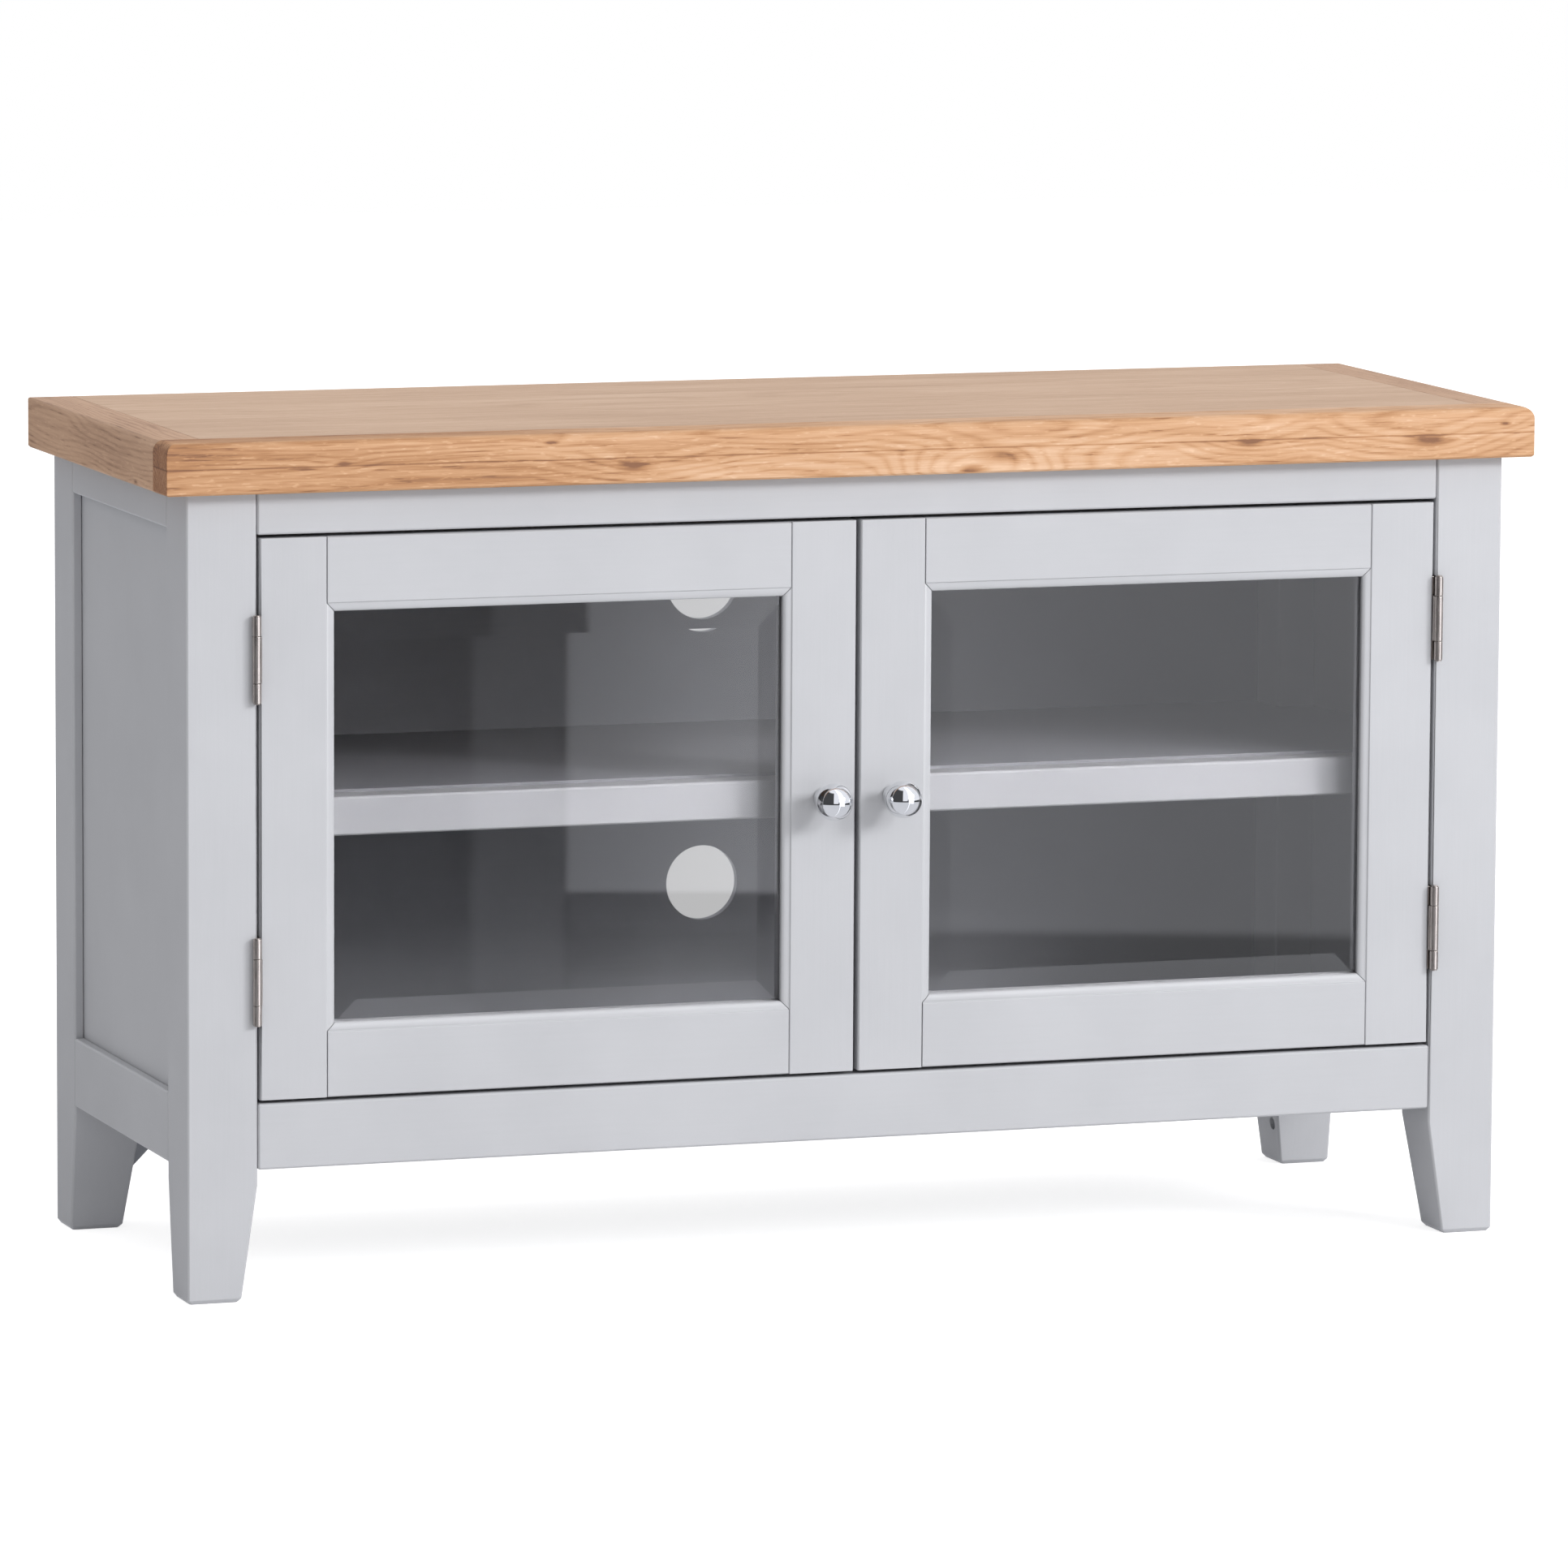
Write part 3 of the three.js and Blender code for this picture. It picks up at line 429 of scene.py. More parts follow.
POLE_SIZE = (0.015, 0.0012, 0.011)
POLE_PROUD = 0.0003
PLATE_ARRIS = 0.0002
CATCH_ARRIS = 0.0005
zinc = bright_zinc_plate("bright_zinc_plate")
softened("magnetic_catch", moulded_plastic("moulded_nylon"), CATCH_ARRIS)
catch_low, catch_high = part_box("magnetic_catch")
for side, s in SIDES:
    softened(f"{side}_door_strike_plate", zinc, PLATE_ARRIS, f"{side}_door")
    low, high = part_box(f"{side}_door_strike_plate")
    middle = ((low[0] + high[0]) / 2, catch_low[1] - POLE_PROUD + POLE_SIZE[1] / 2, (low[2] + high[2]) / 2)
    shape = bmesh.new()
    bmesh.ops.create_cube(shape, size=1, matrix=Matrix.Translation(middle) @ Matrix.Diagonal((*POLE_SIZE, 1)))
    bmesh.ops.bevel(shape, geom=shape.edges, offset=PLATE_ARRIS, segments=2, affect="EDGES", profile=0.5)
    mesh = bpy.data.meshes.new(f"{side}_pole_plate")
    shape.to_mesh(mesh)
    shape.free()
    mesh.materials.append(zinc)
    pole = bpy.data.objects.new(f"{side}_pole_plate", mesh)
    bpy.context.scene.collection.objects.link(pole)
    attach(pole, "root")

# ---------------------------------------------------------------- screws
# Countersunk steel screws with a cross recess, driven flush: three through each hinge
# leaf, and others in the catch, the back, the braces and the plates on the doors.
SCREW_SIDES = 24
SCREW_SEED = 7
RECESS_ARM = 1.15                # the cross recess, in shares of the head's radius
RECESS_WIDTH = 0.26
RECESS_LIFT = 0.6                # how high its cutter stands, in shares of the head's depth


def socketed_tree(name, sizes):
    """A Geometry Nodes tree with its group input and output and one named input per size."""
    tree = bpy.data.node_groups.new(name, "GeometryNodeTree")
    tree.interface.new_socket(name="Geometry", in_out="INPUT", socket_type="NodeSocketGeometry")
    for size in sizes:
        tree.interface.new_socket(name=size, in_out="INPUT", socket_type="NodeSocketFloat")
    tree.interface.new_socket(name="Finish", in_out="INPUT", socket_type="NodeSocketMaterial")
    tree.interface.new_socket(name="Geometry", in_out="OUTPUT", socket_type="NodeSocketGeometry")
    return tree, tree.nodes.new("NodeGroupInput"), tree.nodes.new("NodeGroupOutput")


def stand_on_spots(tree, given, result, head):
    """Puts a head at every spot, facing the way the spot says, at a random turn of its own."""
    facing = add(
        tree, "GeometryNodeInputNamedAttribute", {"data_type": "FLOAT_VECTOR"}, Name="facing",
    ).outputs["Attribute"]
    upright = add(tree, "FunctionNodeAlignRotationToVector", {"axis": "Z"}, Vector=facing)
    turn = add(tree, "FunctionNodeRandomValue", {"data_type": "FLOAT"}, Seed=SCREW_SEED)
    turn.inputs[3].default_value = math.tau
    spin = add(tree, "FunctionNodeAxisAngleToRotation", Axis=(0, 0, 1), Angle=turn.outputs[1])
    turned_head = add(
        tree, "FunctionNodeRotateRotation", {"rotation_space": "LOCAL"},
        Rotation=upright.outputs[0], Rotate_By=spin.outputs[0],
    )
    placed = add(
        tree, "GeometryNodeInstanceOnPoints", Points=given.outputs["Geometry"], Instance=head,
        Rotation=turned_head.outputs[0],
    )
    solid = add(tree, "GeometryNodeRealizeInstances", Geometry=placed.outputs[0])
    finished = add(
        tree, "GeometryNodeSetMaterial", Geometry=solid.outputs[0], Material=given.outputs["Finish"],
    )
    tree.links.new(finished.outputs[0], result.inputs[0])


def screw_tree():
    tree, given, result = socketed_tree("countersunk_screws", ("Head Radius", "Head Depth"))
    radius, depth = given.outputs["Head Radius"], given.outputs["Head Depth"]
    arm = add(tree, "ShaderNodeMath", {"operation": "MULTIPLY"}, _0=radius, _1=RECESS_ARM).outputs[0]
    width = add(tree, "ShaderNodeMath", {"operation": "MULTIPLY"}, _0=radius, _1=RECESS_WIDTH).outputs[0]
    disc = add(tree, "GeometryNodeMeshCylinder", Vertices=SCREW_SIDES, Radius=radius, Depth=depth)
    lift = add(tree, "ShaderNodeCombineXYZ", Z=add(
        tree, "ShaderNodeMath", {"operation": "MULTIPLY"}, _0=depth, _1=RECESS_LIFT,
    ).outputs[0])
    bars = []
    for size in ({"X": arm, "Y": width}, {"X": width, "Y": arm}):
        span = add(tree, "ShaderNodeCombineXYZ", Z=depth, **size).outputs[0]
        bar = add(tree, "GeometryNodeMeshCube", Size=span)
        bars.append(add(
            tree, "GeometryNodeTransform", Geometry=bar.outputs[0], Translation=lift.outputs[0],
        ).outputs[0])
    cross = add(tree, "GeometryNodeMeshBoolean", {"operation": "UNION", "solver": "EXACT"})
    for bar in bars:
        tree.links.new(bar, cross.inputs[1])
    head = add(
        tree, "GeometryNodeMeshBoolean", {"operation": "DIFFERENCE", "solver": "EXACT"},
        _0=disc.outputs[0], _1=cross.outputs[0],
    )
    stand_on_spots(tree, given, result, head.outputs[0])
    return tree


PIN_SIDES = 12
PIN_RINGS = 6


def pin_tree():
    tree, given, result = socketed_tree("panel_pins", ("Head Radius", "Head Depth"))
    radius, depth = given.outputs["Head Radius"], given.outputs["Head Depth"]
    ball = add(tree, "GeometryNodeMeshUVSphere", Segments=PIN_SIDES, Rings=PIN_RINGS, Radius=radius)
    flat = add(tree, "ShaderNodeMath", {"operation": "DIVIDE"}, _0=depth, _1=radius)
    scale = add(tree, "ShaderNodeCombineXYZ", X=1.0, Y=1.0, Z=flat.outputs[0])
    head = add(tree, "GeometryNodeTransform", Geometry=ball.outputs[0], Scale=scale.outputs[0])
    stand_on_spots(tree, given, result, head.outputs[0])
    return tree


def driven(name, tree, spots, radius, depth, finish, body, slot="zinc_plate"):
    """Heads at the spots, each a place and the way it faces, as one plain mesh on one body."""
    mesh = bpy.data.meshes.new(f"{name}_spots")
    mesh.from_pydata([place for place, facing in spots], [], [])
    facings = mesh.attributes.new("facing", "FLOAT_VECTOR", "POINT")
    for entry, (place, facing) in zip(facings.data, spots):
        entry.vector = facing
    marks = bpy.data.objects.new(f"{name}_spots", mesh)
    bpy.context.scene.collection.objects.link(marks)
    modifier = marks.modifiers.new("heads", "NODES")
    modifier.node_group = tree
    sockets = {item.name: item.identifier for item in tree.interface.items_tree if item.in_out == "INPUT"}
    modifier[sockets["Head Radius"]] = radius
    modifier[sockets["Head Depth"]] = depth
    modifier[sockets["Finish"]] = finish
    depsgraph = bpy.context.evaluated_depsgraph_get()
    solid = bpy.data.meshes.new_from_object(marks.evaluated_get(depsgraph), depsgraph=depsgraph)
    bpy.data.objects.remove(marks)
    solid.name = name
    piece = bpy.data.objects.new(name, solid)
    bpy.context.scene.collection.objects.link(piece)
    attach(piece, body)
    return piece


screws = screw_tree()
HINGE_SCREWS = ((-0.120, -0.016), (-0.1165, 0.0), (-0.120, 0.016))
POST_LEAF_X = 0.36550            # where the middle of a head lies in each leaf
DOOR_LEAF_X = 0.36470
HINGE_HEAD = (0.0026, 0.0006)    # each head's radius and depth
WOOD_HEAD = (0.0032, 0.001)
STRIKE_HEAD = (0.0021, 0.0008)
KNOB_HEAD = (0.0042, 0.0016)
SMALL_SUNK = 0.0001              # how far each head's middle is below the face it is in
PLATE_SUNK = 0.0002
BACK_SUNK = 0.0003
KNOB_HEAD_PROUD = 0.0004
BRACE_SCREWS = ((0.3420, 0.0690), (0.3655, 0.0500))
CATCH_SCREW = (0.0170, 0.4510)
BACK_ROWS = ((0.4582, 7, 0.340), (0.2787, 5, 0.330), (0.0963, 7, 0.340))
BACKWARD = (0, 1, 0)
back_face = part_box("back_panel")[1][1]
post_screws = []
for side, s in SIDES:
    door_screws = []
    for level_name in ("upper", "lower"):
        low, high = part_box(f"{side}_{level_name}_hinge_post_leaf")
        middle = (low[2] + high[2]) / 2
        for y, rise in HINGE_SCREWS:
            post_screws.append(((s * POST_LEAF_X, y, middle + rise), (-s, 0, 0)))
            door_screws.append(((s * DOOR_LEAF_X, y, middle + rise), (s, 0, 0)))
    driven(
        f"{side}_door_hinge_screws", screws, door_screws, *HINGE_HEAD, nickel, f"{side}_door", "satin_nickel",
    )
    low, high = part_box(f"{side}_door_strike_plate")
    strike = ((low[0] + high[0]) / 2, high[1] - SMALL_SUNK, (low[2] + high[2]) / 2)
    driven(f"{side}_door_strike_screw", screws, [(strike, BACKWARD)], *STRIKE_HEAD, zinc, f"{side}_door")
    low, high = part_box(f"{side}_door_knob")
    stile_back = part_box(f"{side}_door_lock_stile")[1][1]
    knob_screw = ((low[0] + high[0]) / 2, stile_back + KNOB_HEAD_PROUD, (low[2] + high[2]) / 2)
    driven(f"{side}_door_knob_screw", screws, [(knob_screw, BACKWARD)], *KNOB_HEAD, zinc, f"{side}_door")
driven("post_hinge_screws", screws, post_screws, *HINGE_HEAD, nickel, "root", "satin_nickel")

carcass_spots = [
    ((-reach + 2 * reach * k / (count - 1), back_face - BACK_SUNK, z), BACKWARD)
    for z, count, reach in BACK_ROWS for k in range(count)
]
brace_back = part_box("rear_left_knee_brace")[1][1]
for side, s in SIDES:
    for x, z in BRACE_SCREWS:
        carcass_spots.append(((s * x, brace_back - PLATE_SUNK, z), BACKWARD))
    carcass_spots.append(((s * CATCH_SCREW[0], catch_high[1] - PLATE_SUNK, CATCH_SCREW[1]), BACKWARD))
driven("carcass_screws", screws, carcass_spots, *WOOD_HEAD, zinc, "root")

# Panel pins every 60 mm or so hold the glazing beads.
PIN_GAP = 0.06
PIN_HEAD = (0.0009, 0.0004)
pins = pin_tree()
for side, s in SIDES:
    bead_pins = []
    for where in ("top", "bottom", "lock", "hinge"):
        low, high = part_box(f"{side}_door_{where}_bead")
        spans = [high[0] - low[0], high[2] - low[2]]
        count = max(2, round(max(spans) / PIN_GAP))
        for k in range(count):
            share = (k + 0.5) / count
            x = low[0] + spans[0] * (share if spans[0] > spans[1] else 0.5)
            z = low[2] + spans[1] * (share if spans[1] > spans[0] else 0.5)
            bead_pins.append(((x, high[1] - SMALL_SUNK, z), BACKWARD))
    driven(f"{side}_door_bead_pins", pins, bead_pins, *PIN_HEAD, zinc, f"{side}_door")

# ---------------------------------------------------------------- oak top
# A core of oak with solid strips glued round it. The front strip is two boards thick,
# and its ends show end grain at the sides.
RING_GAP = 0.0024                # years of growth, wide enough to show
GLUE_LINE_Z = 0.485
STAVE_WIDTH = 0.0825
MID_TONE = 0.52                  # the wood's middle tone, and how much each pattern moves it
FIBRE_TONE = 0.5
COARSE_TONE = 0.5
PATCH_TONE = 0.6
PORE_TONE = -0.26
FLECK_TONE = 0.16
STAVE_TONE = 0.12
SEAM_TONE = -0.3
KNOT_TONE = -0.6
KNOT_STRETCH = 0.3               # a knot is drawn out along the grain, and bends the rings round it
KNOT_BEND = 2.2
LEFT_END_X = -0.42


def oiled_oak(
    name, along, heart, tones, wander=0.010, stave=0.0, two_boards=False, knots=(), ring_weight=0.17,
    low_end=0.0,
):
    """Solid oak: every face is cut from one pattern of rings, fibres, pores and flecks.

    heart is where the tree's centre runs, across and up from the piece; tones run from
    dark to pale; each knot is (along, up, radius). Noise scales are repeats a metre,
    along the grain and then across it: a fibre is 26 mm long and 0.9 mm wide.
    """
    # European oak, sanded and oiled: straw to light brown, with open pores in dark
    # dashes, rings that wander into cathedrals, and a low sheen.
    material, tree, output = new_material(name)

    def maths(operation, first, second=0.0, third=0.0):
        return add(tree, "ShaderNodeMath", {"operation": operation}, _0=first, _1=second, _2=third).outputs[0]

    def ranged(value, low, high, start=0.0, end=1.0):
        return add(
            tree, "ShaderNodeMapRange", Value=value, From_Min=low, From_Max=high, To_Min=start, To_Max=end,
        ).outputs[0]

    def grain_noise(place, long, fine, detail=3.0, roughness=0.5):
        squeezed = add(tree, "ShaderNodeMapping", Vector=place, Scale=(long, fine, fine)).outputs[0]
        return add(
            tree, "ShaderNodeTexNoise", Vector=squeezed, Scale=1.0, Detail=detail, Roughness=roughness,
        ).outputs[0]

    texture = add(tree, "ShaderNodeTexCoord")
    x, y, z = add(tree, "ShaderNodeSeparateXYZ", Vector=texture.outputs["Object"]).outputs
    length, across = (x, y) if along == "x" else (y, x)
    board = 0.0
    if two_boards:
        board = maths("GREATER_THAN", z, GLUE_LINE_Z)
    if stave:
        board = add(
            tree, "ShaderNodeTexWhiteNoise", {"noise_dimensions": "1D"},
            W=maths("FLOOR", maths("DIVIDE", across, stave)),
        ).outputs[0]
    place = add(
        tree, "ShaderNodeCombineXYZ", X=maths("MULTIPLY_ADD", board, 0.37, length), Y=across,
        Z=maths("MULTIPLY_ADD", board, 0.11, z),
    ).outputs[0]

    bulge = 0.0
    shadow = 0.0
    for knot_length, knot_height, radius in knots:
        run = maths("MULTIPLY", maths("SUBTRACT", length, knot_length), KNOT_STRETCH)
        rise = maths("SUBTRACT", z, knot_height)
        distance = maths("SQRT", maths("ADD", maths("MULTIPLY", run, run), maths("MULTIPLY", rise, rise)))
        near = ranged(distance, 0.0, 6 * radius, 1.0, 0.0)
        bulge = maths("MULTIPLY_ADD", near, KNOT_BEND * radius, bulge)
        core = maths("POWER", ranged(distance, 0.2 * radius, 1.6 * radius, 1.0, 0.0), 1.5)
        shadow = maths("MAXIMUM", core, shadow)

    drift = maths("SUBTRACT", grain_noise(place, 5.0, 22.0, 1.5), 0.5)
    out = maths("SUBTRACT", across, heart[0])
    rise = maths("SUBTRACT", maths("MULTIPLY_ADD", board, heart[2], z), heart[1])
    radius = maths("SQRT", maths("ADD", maths("MULTIPLY", out, out), maths("MULTIPLY", rise, rise)))
    radius = maths("ADD", maths("MULTIPLY_ADD", drift, wander * 2.4, radius), bulge)
    year = maths("FRACT", maths("DIVIDE", radius, RING_GAP))
    early = ranged(maths("ABSOLUTE", maths("SUBTRACT", year, 0.5)), 0.18, 0.5)

    fibre = grain_noise(place, 38.0, 1150.0, 4.0, 0.6)
    coarse = grain_noise(place, 14.0, 330.0, 3.0)
    pores = ranged(grain_noise(place, 55.0, 900.0, 1.0), 0.6, 0.72)
    flecks = ranged(grain_noise(place, 160.0, 620.0, 1.0), 0.62, 0.74)
    patch = grain_noise(place, 6.5, 40.0, 2.0)

    tone = maths("MULTIPLY_ADD", maths("SUBTRACT", 0.5, early), ring_weight, MID_TONE)
    tone = maths("MULTIPLY_ADD", maths("SUBTRACT", fibre, 0.5), FIBRE_TONE, tone)
    tone = maths("MULTIPLY_ADD", maths("SUBTRACT", coarse, 0.5), COARSE_TONE, tone)
    tone = maths("MULTIPLY_ADD", maths("SUBTRACT", patch, 0.5), PATCH_TONE, tone)
    tone = maths("ADD", ranged(length, LEFT_END_X, 0.0, -low_end, 0.0), tone)
    early_pores = maths("MULTIPLY", pores, maths("MULTIPLY_ADD", early, 0.6, 0.4))
    tone = maths("MULTIPLY_ADD", early_pores, PORE_TONE, tone)
    tone = maths("MULTIPLY_ADD", flecks, FLECK_TONE, tone)
    if stave:
        tone = maths("MULTIPLY_ADD", maths("SUBTRACT", board, 0.5), STAVE_TONE, tone)
    if two_boards:
        seam = ranged(maths("ABSOLUTE", maths("SUBTRACT", z, GLUE_LINE_Z)), 0.0002, 0.0007, 1.0, 0.0)
        tone = maths("MULTIPLY_ADD", seam, SEAM_TONE, tone)
    tone = maths("MULTIPLY_ADD", shadow, KNOT_TONE, tone)
    ramp = add(tree, "ShaderNodeValToRGB", Fac=tone)
    stops = ramp.color_ramp.elements
    stops[1].position = 1.0
    for position in (0.25, 0.5, 0.75):
        stops.new(position)
    for stop, tint in zip(stops, tones):
        stop.color = linear(tint)

    facings = add(tree, "ShaderNodeSeparateXYZ", Vector=texture.outputs["Normal"]).outputs
    cut_across = ranged(maths("ABSOLUTE", facings["xyz".index(along)]), 0.6, 0.9)
    darker = add(
        tree, "ShaderNodeMix", {"data_type": "RGBA", "blend_type": "MULTIPLY"},
        Factor=cut_across, _6=ramp.outputs[0], _7=linear("#E3D8D2"),
    )
    gloss = ranged(tone, 0.2, 0.9, 0.66, 0.54)
    relief = maths("MULTIPLY_ADD", pores, -1.2, fibre)
    bump = add(tree, "ShaderNodeBump", Height=relief, Strength=0.4, Distance=0.00012)
    shader = add(
        tree, "ShaderNodeBsdfPrincipled", Base_Color=darker.outputs[2], Roughness=gloss,
        Normal=bump.outputs[0], IOR=1.46,
    )
    tree.links.new(shader.outputs[0], output.inputs[0])
    return material


front_knots = (
    (-0.318, 0.4865, 0.0012), (-0.193, 0.4950, 0.0012), (-0.143, 0.4800, 0.0032), (0.064, 0.4720, 0.0030),
    (0.085, 0.4800, 0.0045), (0.240, 0.4838, 0.0024), (0.404, 0.4905, 0.0010), (0.355, 0.4820, 0.0040),
)
oak_front = oiled_oak(
    "oiled_oak_front", "x", (-0.110, 0.462, 0.013), ("#7C5338", "#A4764F", "#BC916B", "#CAA586", "#D8B797"),
    wander=0.010, two_boards=True, knots=front_knots, low_end=0.3,
)
oak_board = oiled_oak(
    "oiled_oak_board", "x", (0.05, 0.350, 0.0), ("#957760", "#AF9077", "#BC9D83", "#C6A88E", "#D0B49C"),
    wander=0.006, stave=STAVE_WIDTH, ring_weight=0.14,
)
oak_side = oiled_oak(
    "oiled_oak_side", "y", (-0.400, 0.505, 0.0), ("#75543E", "#96735A", "#B08C70", "#BE997B", "#CAA888"),
    wander=0.010, knots=((-0.078, 0.4725, 0.0012),),
)
softened("top_board", oak_board, FINE_ARRIS)
softened("top_rear_strip", oak_board, FINE_ARRIS)
softened("top_front_strip", oak_front, FINE_ARRIS)
softened("top_left_strip", oak_side, FINE_ARRIS)
softened("top_right_strip", oak_side, FINE_ARRIS)

# ---------------------------------------------------------------- floor and studio light
# White paper underfoot, a large soft lamp low on the right and a smaller one nearer the
# camera. The paper glows a little, so that the shadow on it stays pale.
FLOOR_REACH = 8.0
PAPER_GLOW = 0.76
PAPER_THROUGH_GLASS = 0.54       # how bright the paper looks from behind the glass
PAPER_INSIDE = 0.16              # how much of its light gets in there
PAPER_IN_SHEEN = 0.2             # and how much of it a sheen in there picks up
LAMP_DISTANCE = 8.0
LAMP_AIM = Vector((0, 0, 0.25))

floor_mesh = bpy.data.meshes.new("floor")
floor_corners = [(u * FLOOR_REACH, v * FLOOR_REACH, 0) for u, v in ((-1, -1), (1, -1), (1, 1), (-1, 1))]
floor_mesh.from_pydata(floor_corners, [], [(0, 1, 2, 3)])
floor = bpy.data.objects.new("floor", floor_mesh)
bpy.context.scene.collection.objects.link(floor)
floor_paper, tree, output = new_material("white_paper_floor")
path = add(tree, "ShaderNodeLightPath")
soft_white = add(tree, "ShaderNodeBsdfDiffuse", Color=linear("#C4C4C5"))
glow = add(tree, "ShaderNodeEmission", Color=linear("#FFFFFF"), Strength=PAPER_GLOW)
looked_at = add(tree, "ShaderNodeAddShader", _0=soft_white.outputs[0], _1=glow.outputs[0])
lit_paper = add(tree, "ShaderNodeBsdfDiffuse", Color=linear("#F4F4F5"))
outdoors = add(
    tree, "ShaderNodeMixShader", _0=path.outputs["Is Camera Ray"], _1=lit_paper.outputs[0],
    _2=looked_at.outputs[0],
)
inside_level = add(
    tree, "ShaderNodeMapRange", Value=path.outputs["Diffuse Depth"],
    To_Min=PAPER_THROUGH_GLASS, To_Max=PAPER_INSIDE,
)
after_sheen = add(
    tree, "ShaderNodeMapRange", Value=path.outputs["Glossy Depth"], To_Min=1.0, To_Max=PAPER_IN_SHEEN,
)
inside_level = add(
    tree, "ShaderNodeMath", {"operation": "MULTIPLY"}, _0=inside_level.outputs[0], _1=after_sheen.outputs[0],
)
dim_paper = add(tree, "ShaderNodeEmission", Color=linear("#FFFFFF"), Strength=inside_level.outputs[0])
mixed = add(
    tree, "ShaderNodeMixShader", _0=path.outputs["Is Transmission Ray"], _1=outdoors.outputs[0],
    _2=dim_paper.outputs[0],
)
tree.links.new(mixed.outputs[0], output.inputs[0])
floor_mesh.materials.append(floor_paper)
floor.visible_glossy = False


def softbox(name, azimuth, elevation, width, height, watts):
    """An area light aimed at the cabinet, placed by its bearing from the front and its height."""
    light = bpy.data.lights.new(name, "AREA")
    light.shape = "RECTANGLE"
    light.size = width
    light.size_y = height
    light.energy = watts
    a, e = math.radians(azimuth), math.radians(elevation)
    towards = Vector((math.sin(a) * math.cos(e), -math.cos(a) * math.cos(e), math.sin(e)))
    lamp = bpy.data.objects.new(name, light)
    lamp.matrix_world = (
        Matrix.Translation(LAMP_AIM + towards * LAMP_DISTANCE)
        @ towards.to_track_quat("Z", "Y").to_matrix().to_4x4()
    )
    bpy.context.scene.collection.objects.link(lamp)


softbox("key", azimuth=45, elevation=21, width=1.8, height=1.8, watts=322)
softbox("front_fill", azimuth=24, elevation=24, width=2.0, height=1.6, watts=160)

# The room gives a soft light that is strongest overhead. What shines in polished
# surfaces is the room itself: white walls above a dark skirting, a dark side on the
# left, and one tall white screen low on the right, with a seam across its foot. A
# sheen inside the cabinet sees little of it.
ROOM_LEVEL = 0.3
ROOM_OVERHEAD = 0.9
ROOM_THROUGH_GLASS = 0.55
ROOM_IN_SHEEN = 0.12
ROOM_INSIDE = 0.13               # the share of the soft light that gets in through the glass

# Each part of the room spans bearings, in degrees from the front, and heights, as the
# rise of a line of sight; a pair of heights is where an edge starts and where it ends.
DARK_SIDE = (-130, -23)
DARK_SIDE_TOP = (0.85, 0.92)
DARK_SIDE_CUT = -0.93
SKIRTING_TOP = (-0.08, -0.05)
WALL_BEHIND = 0.78
DOORWAY = (6, 18)
DOORWAY_TOP = (0.07, 0.08)
DOORWAY_CUT = -0.8
CURTAIN = (17.45, 18)
CURTAIN_LEVEL = 0.6
PAPER_EDGE = (-0.21, -0.18)
PAPER_LEVEL = 0.75
NEAR_PAPER = (16, 19.6)
NEAR_PAPER_GAIN = 1.3
SCREEN = (18, 48)
SCREEN_BESIDE = (13.6, 15.6)
SCREEN_FOOT = (-0.1425, -0.1415)
SCREEN_LOWEST = (-0.32, -0.31)
LONG_PARTS = ((19.65, 23.8), (27, 48))
FAINT_PART = (18, 19.65)
FAINT_LEVEL = 0.2
SEAM_FOOT = (-0.151, -0.1495)
SEAM_TOP = (-0.1465, -0.145)
SEAM_CUT = -0.55
SCREEN_LEVELS = (2.3, 3.7)
SCREEN_BRIGHTENS = (18, 19.2)
SCREEN_DIMS = (19.5, 20)
SCREEN_DIMMING = -1.0
DARKEST = 0.06
CRISP = 0.05                     # half the width of an edge, in degrees

world = bpy.data.worlds.new("studio")
world.use_nodes = True
bpy.context.scene.world = world
world.node_tree.nodes.clear()
tree = world.node_tree


def calculate(operation, first, second=0.0, third=0.0):
    return add(tree, "ShaderNodeMath", {"operation": operation}, _0=first, _1=second, _2=third).outputs[0]


def step_up(value, start, end, low=0.0, high=1.0):
    return add(
        tree, "ShaderNodeMapRange", {"interpolation_type": "SMOOTHSTEP"},
        Value=value, From_Min=start, From_Max=end, To_Min=low, To_Max=high,
    ).outputs[0]


def between_bearings(span, edge=CRISP):
    """One inside a span of bearings in degrees, nought outside it."""
    start, end = span
    rising = step_up(bearing, math.radians(start - edge), math.radians(start + edge))
    falling = step_up(bearing, math.radians(end - edge), math.radians(end + edge), 1.0, 0.0)
    return calculate("MULTIPLY", rising, falling)


direction = add(tree, "ShaderNodeSeparateXYZ", Vector=add(tree, "ShaderNodeTexCoord").outputs["Generated"])
across, away, height = direction.outputs
bearing = calculate("ARCTAN2", across, calculate("MULTIPLY", away, -1.0))
soft_light = calculate("MULTIPLY_ADD", calculate("MAXIMUM", height, 0.0), ROOM_OVERHEAD, ROOM_LEVEL)
path = add(tree, "ShaderNodeLightPath")
through_glass = path.outputs["Is Transmission Ray"]
soft_light = calculate("MULTIPLY", soft_light, step_up(through_glass, 0.0, 1.0, 1.0, ROOM_INSIDE))
fill = add(tree, "ShaderNodeBackground", Color=linear("#FFFFFF"), Strength=soft_light)

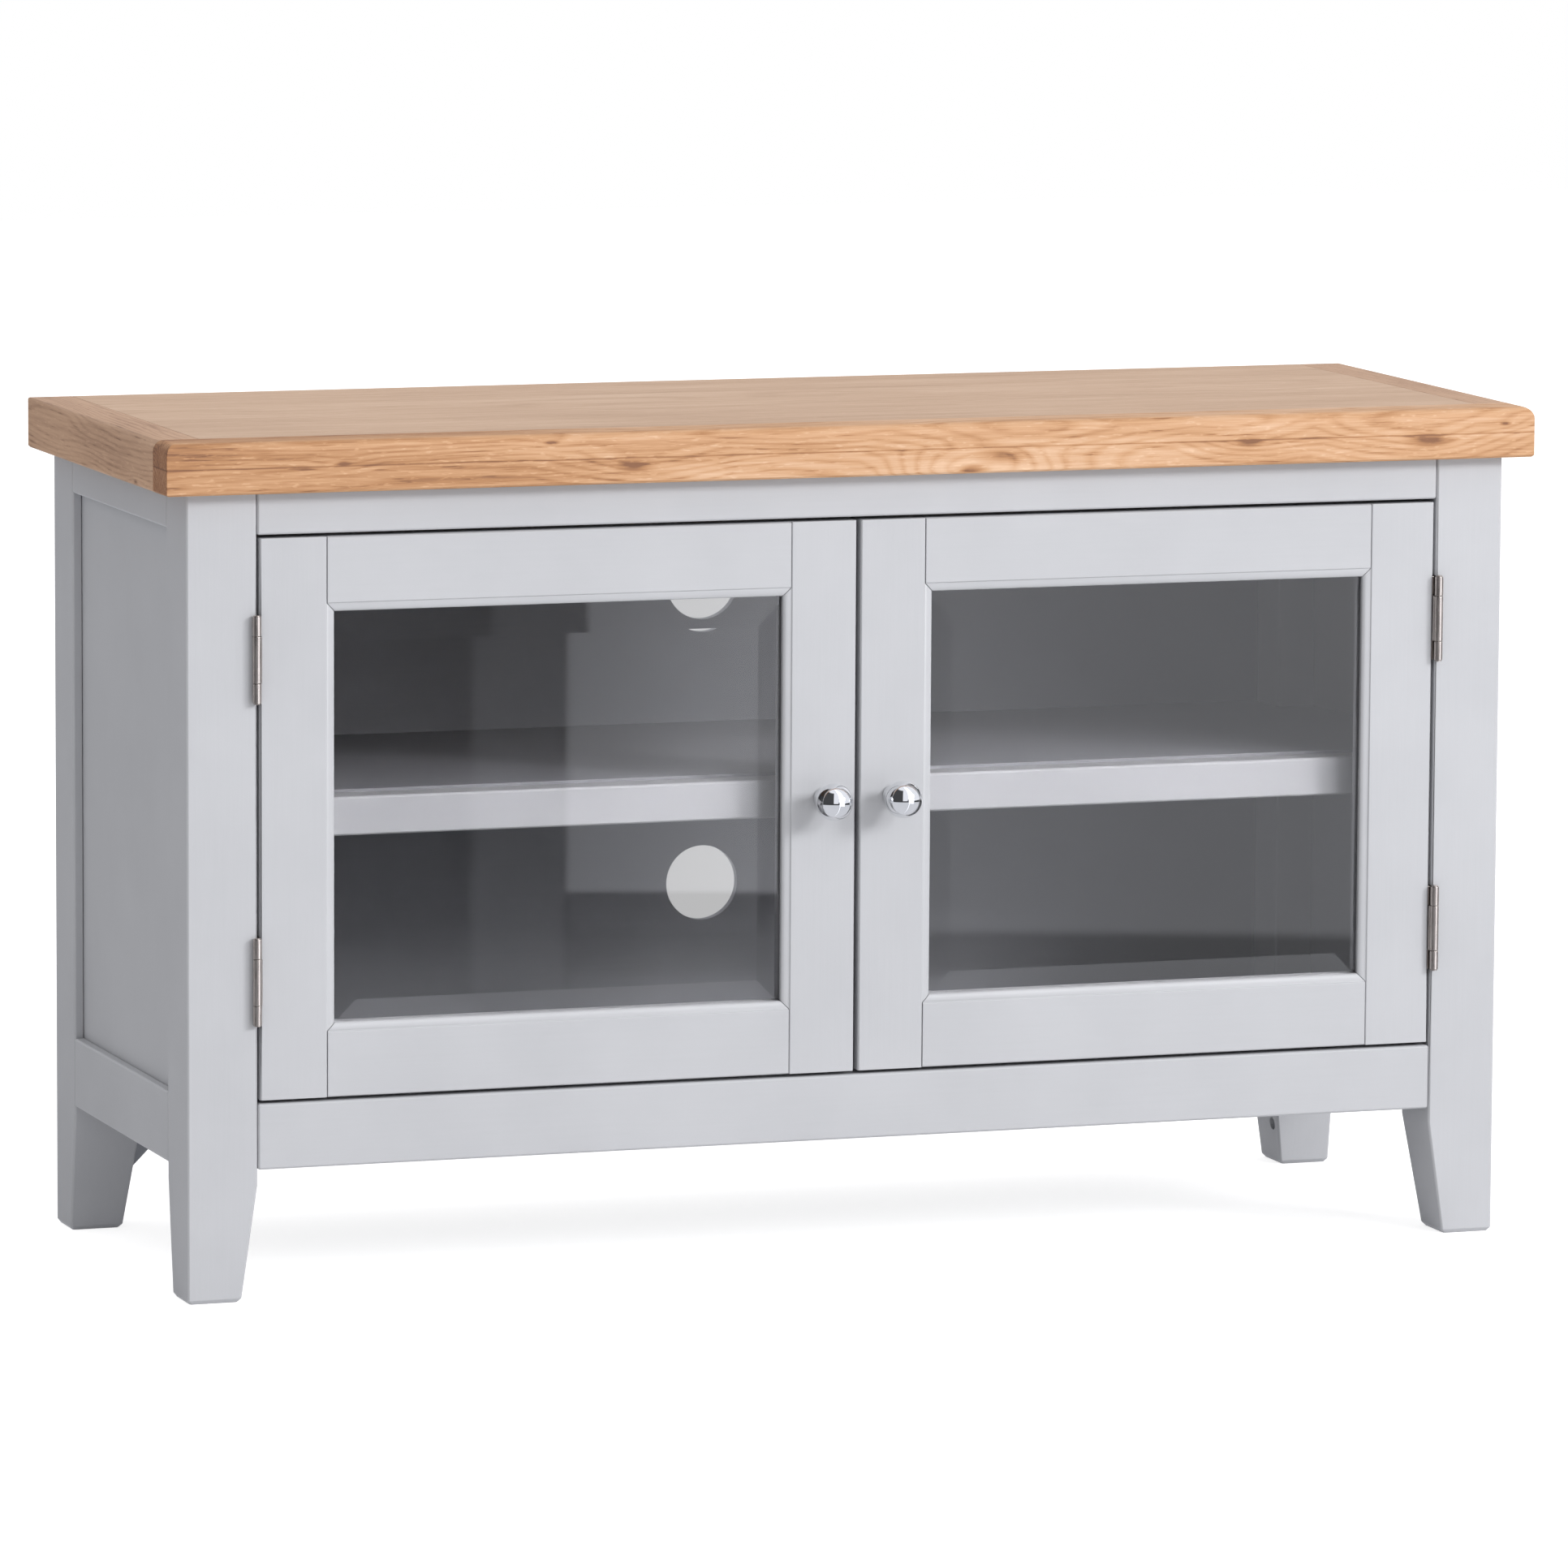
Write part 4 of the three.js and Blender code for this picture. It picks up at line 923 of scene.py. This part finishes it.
below_top = step_up(height, *DARK_SIDE_TOP, 1.0, 0.0)
dark_side = calculate("MULTIPLY", between_bearings(DARK_SIDE, edge=1), below_top)
wall_level = calculate("MULTIPLY_ADD", dark_side, DARK_SIDE_CUT, 1.0)
walls = calculate("MULTIPLY", step_up(height, *SKIRTING_TOP), wall_level)
walls = calculate("MULTIPLY", walls, step_up(away, 0.0, 0.3, 1.0, WALL_BEHIND))
doorway = calculate("MULTIPLY", between_bearings(DOORWAY), step_up(height, *DOORWAY_TOP, 1.0, 0.0))
walls = calculate("MULTIPLY", walls, calculate("MULTIPLY_ADD", doorway, DOORWAY_CUT, 1.0))
curtain = step_up(height, *SCREEN_LOWEST, 0.0, CURTAIN_LEVEL)
curtain = calculate("MULTIPLY", between_bearings(CURTAIN), curtain)

paper = step_up(height, *PAPER_EDGE, PAPER_LEVEL, 0.0)
near_paper = calculate("MULTIPLY_ADD", between_bearings(NEAR_PAPER, edge=0.1), NEAR_PAPER_GAIN, 1.0)
paper = calculate("MULTIPLY", paper, near_paper)

beside = between_bearings(SCREEN_BESIDE, edge=0.1)
low_part = calculate("ADD", *[between_bearings(span) for span in LONG_PARTS])
low_part = calculate("MULTIPLY_ADD", between_bearings(FAINT_PART), FAINT_LEVEL, low_part)
low_part = calculate("MULTIPLY", calculate("ADD", low_part, beside), step_up(height, *SCREEN_LOWEST))
screen = calculate("MAXIMUM", step_up(height, *SCREEN_FOOT), low_part)
screen = calculate("MULTIPLY", screen, calculate("ADD", between_bearings(SCREEN), beside))
seam = calculate("MULTIPLY", step_up(height, *SEAM_FOOT), step_up(height, *SEAM_TOP, 1.0, 0.0))
screen = calculate("MULTIPLY", screen, calculate("MULTIPLY_ADD", seam, SEAM_CUT, 1.0))
screen_level = calculate(
    "ADD", step_up(bearing, *map(math.radians, SCREEN_BRIGHTENS), *SCREEN_LEVELS),
    step_up(bearing, *map(math.radians, SCREEN_DIMS), 0.0, SCREEN_DIMMING),
)
screen = calculate("MULTIPLY", screen, screen_level)
shine = calculate("MAXIMUM", calculate("MAXIMUM", walls, paper), calculate("MAXIMUM", screen, DARKEST))
shine = calculate("MAXIMUM", shine, curtain)
mirrored = add(tree, "ShaderNodeBackground", Color=linear("#F3F5FC"), Strength=shine)

seen_level = step_up(through_glass, 0.0, 1.0, 1.0, ROOM_THROUGH_GLASS)
sheen = calculate("GREATER_THAN", path.outputs["Glossy Depth"], 0.5)
seen_level = calculate("MULTIPLY", seen_level, step_up(sheen, 0.0, 1.0, 1.0, ROOM_IN_SHEEN))
seen = add(tree, "ShaderNodeBackground", Color=linear("#FFFFFF"), Strength=seen_level)
bounced = calculate("GREATER_THAN", path.outputs["Diffuse Depth"], 0.5)
direct = add(
    tree, "ShaderNodeMixShader", _0=path.outputs["Is Glossy Ray"], _1=seen.outputs[0], _2=mirrored.outputs[0],
)
mixed = add(tree, "ShaderNodeMixShader", _0=bounced, _1=direct.outputs[0], _2=fill.outputs[0])
output = tree.nodes.new("ShaderNodeOutputWorld")
tree.links.new(mixed.outputs[0], output.inputs[0])
bpy.context.scene.view_settings.view_transform = "Standard"
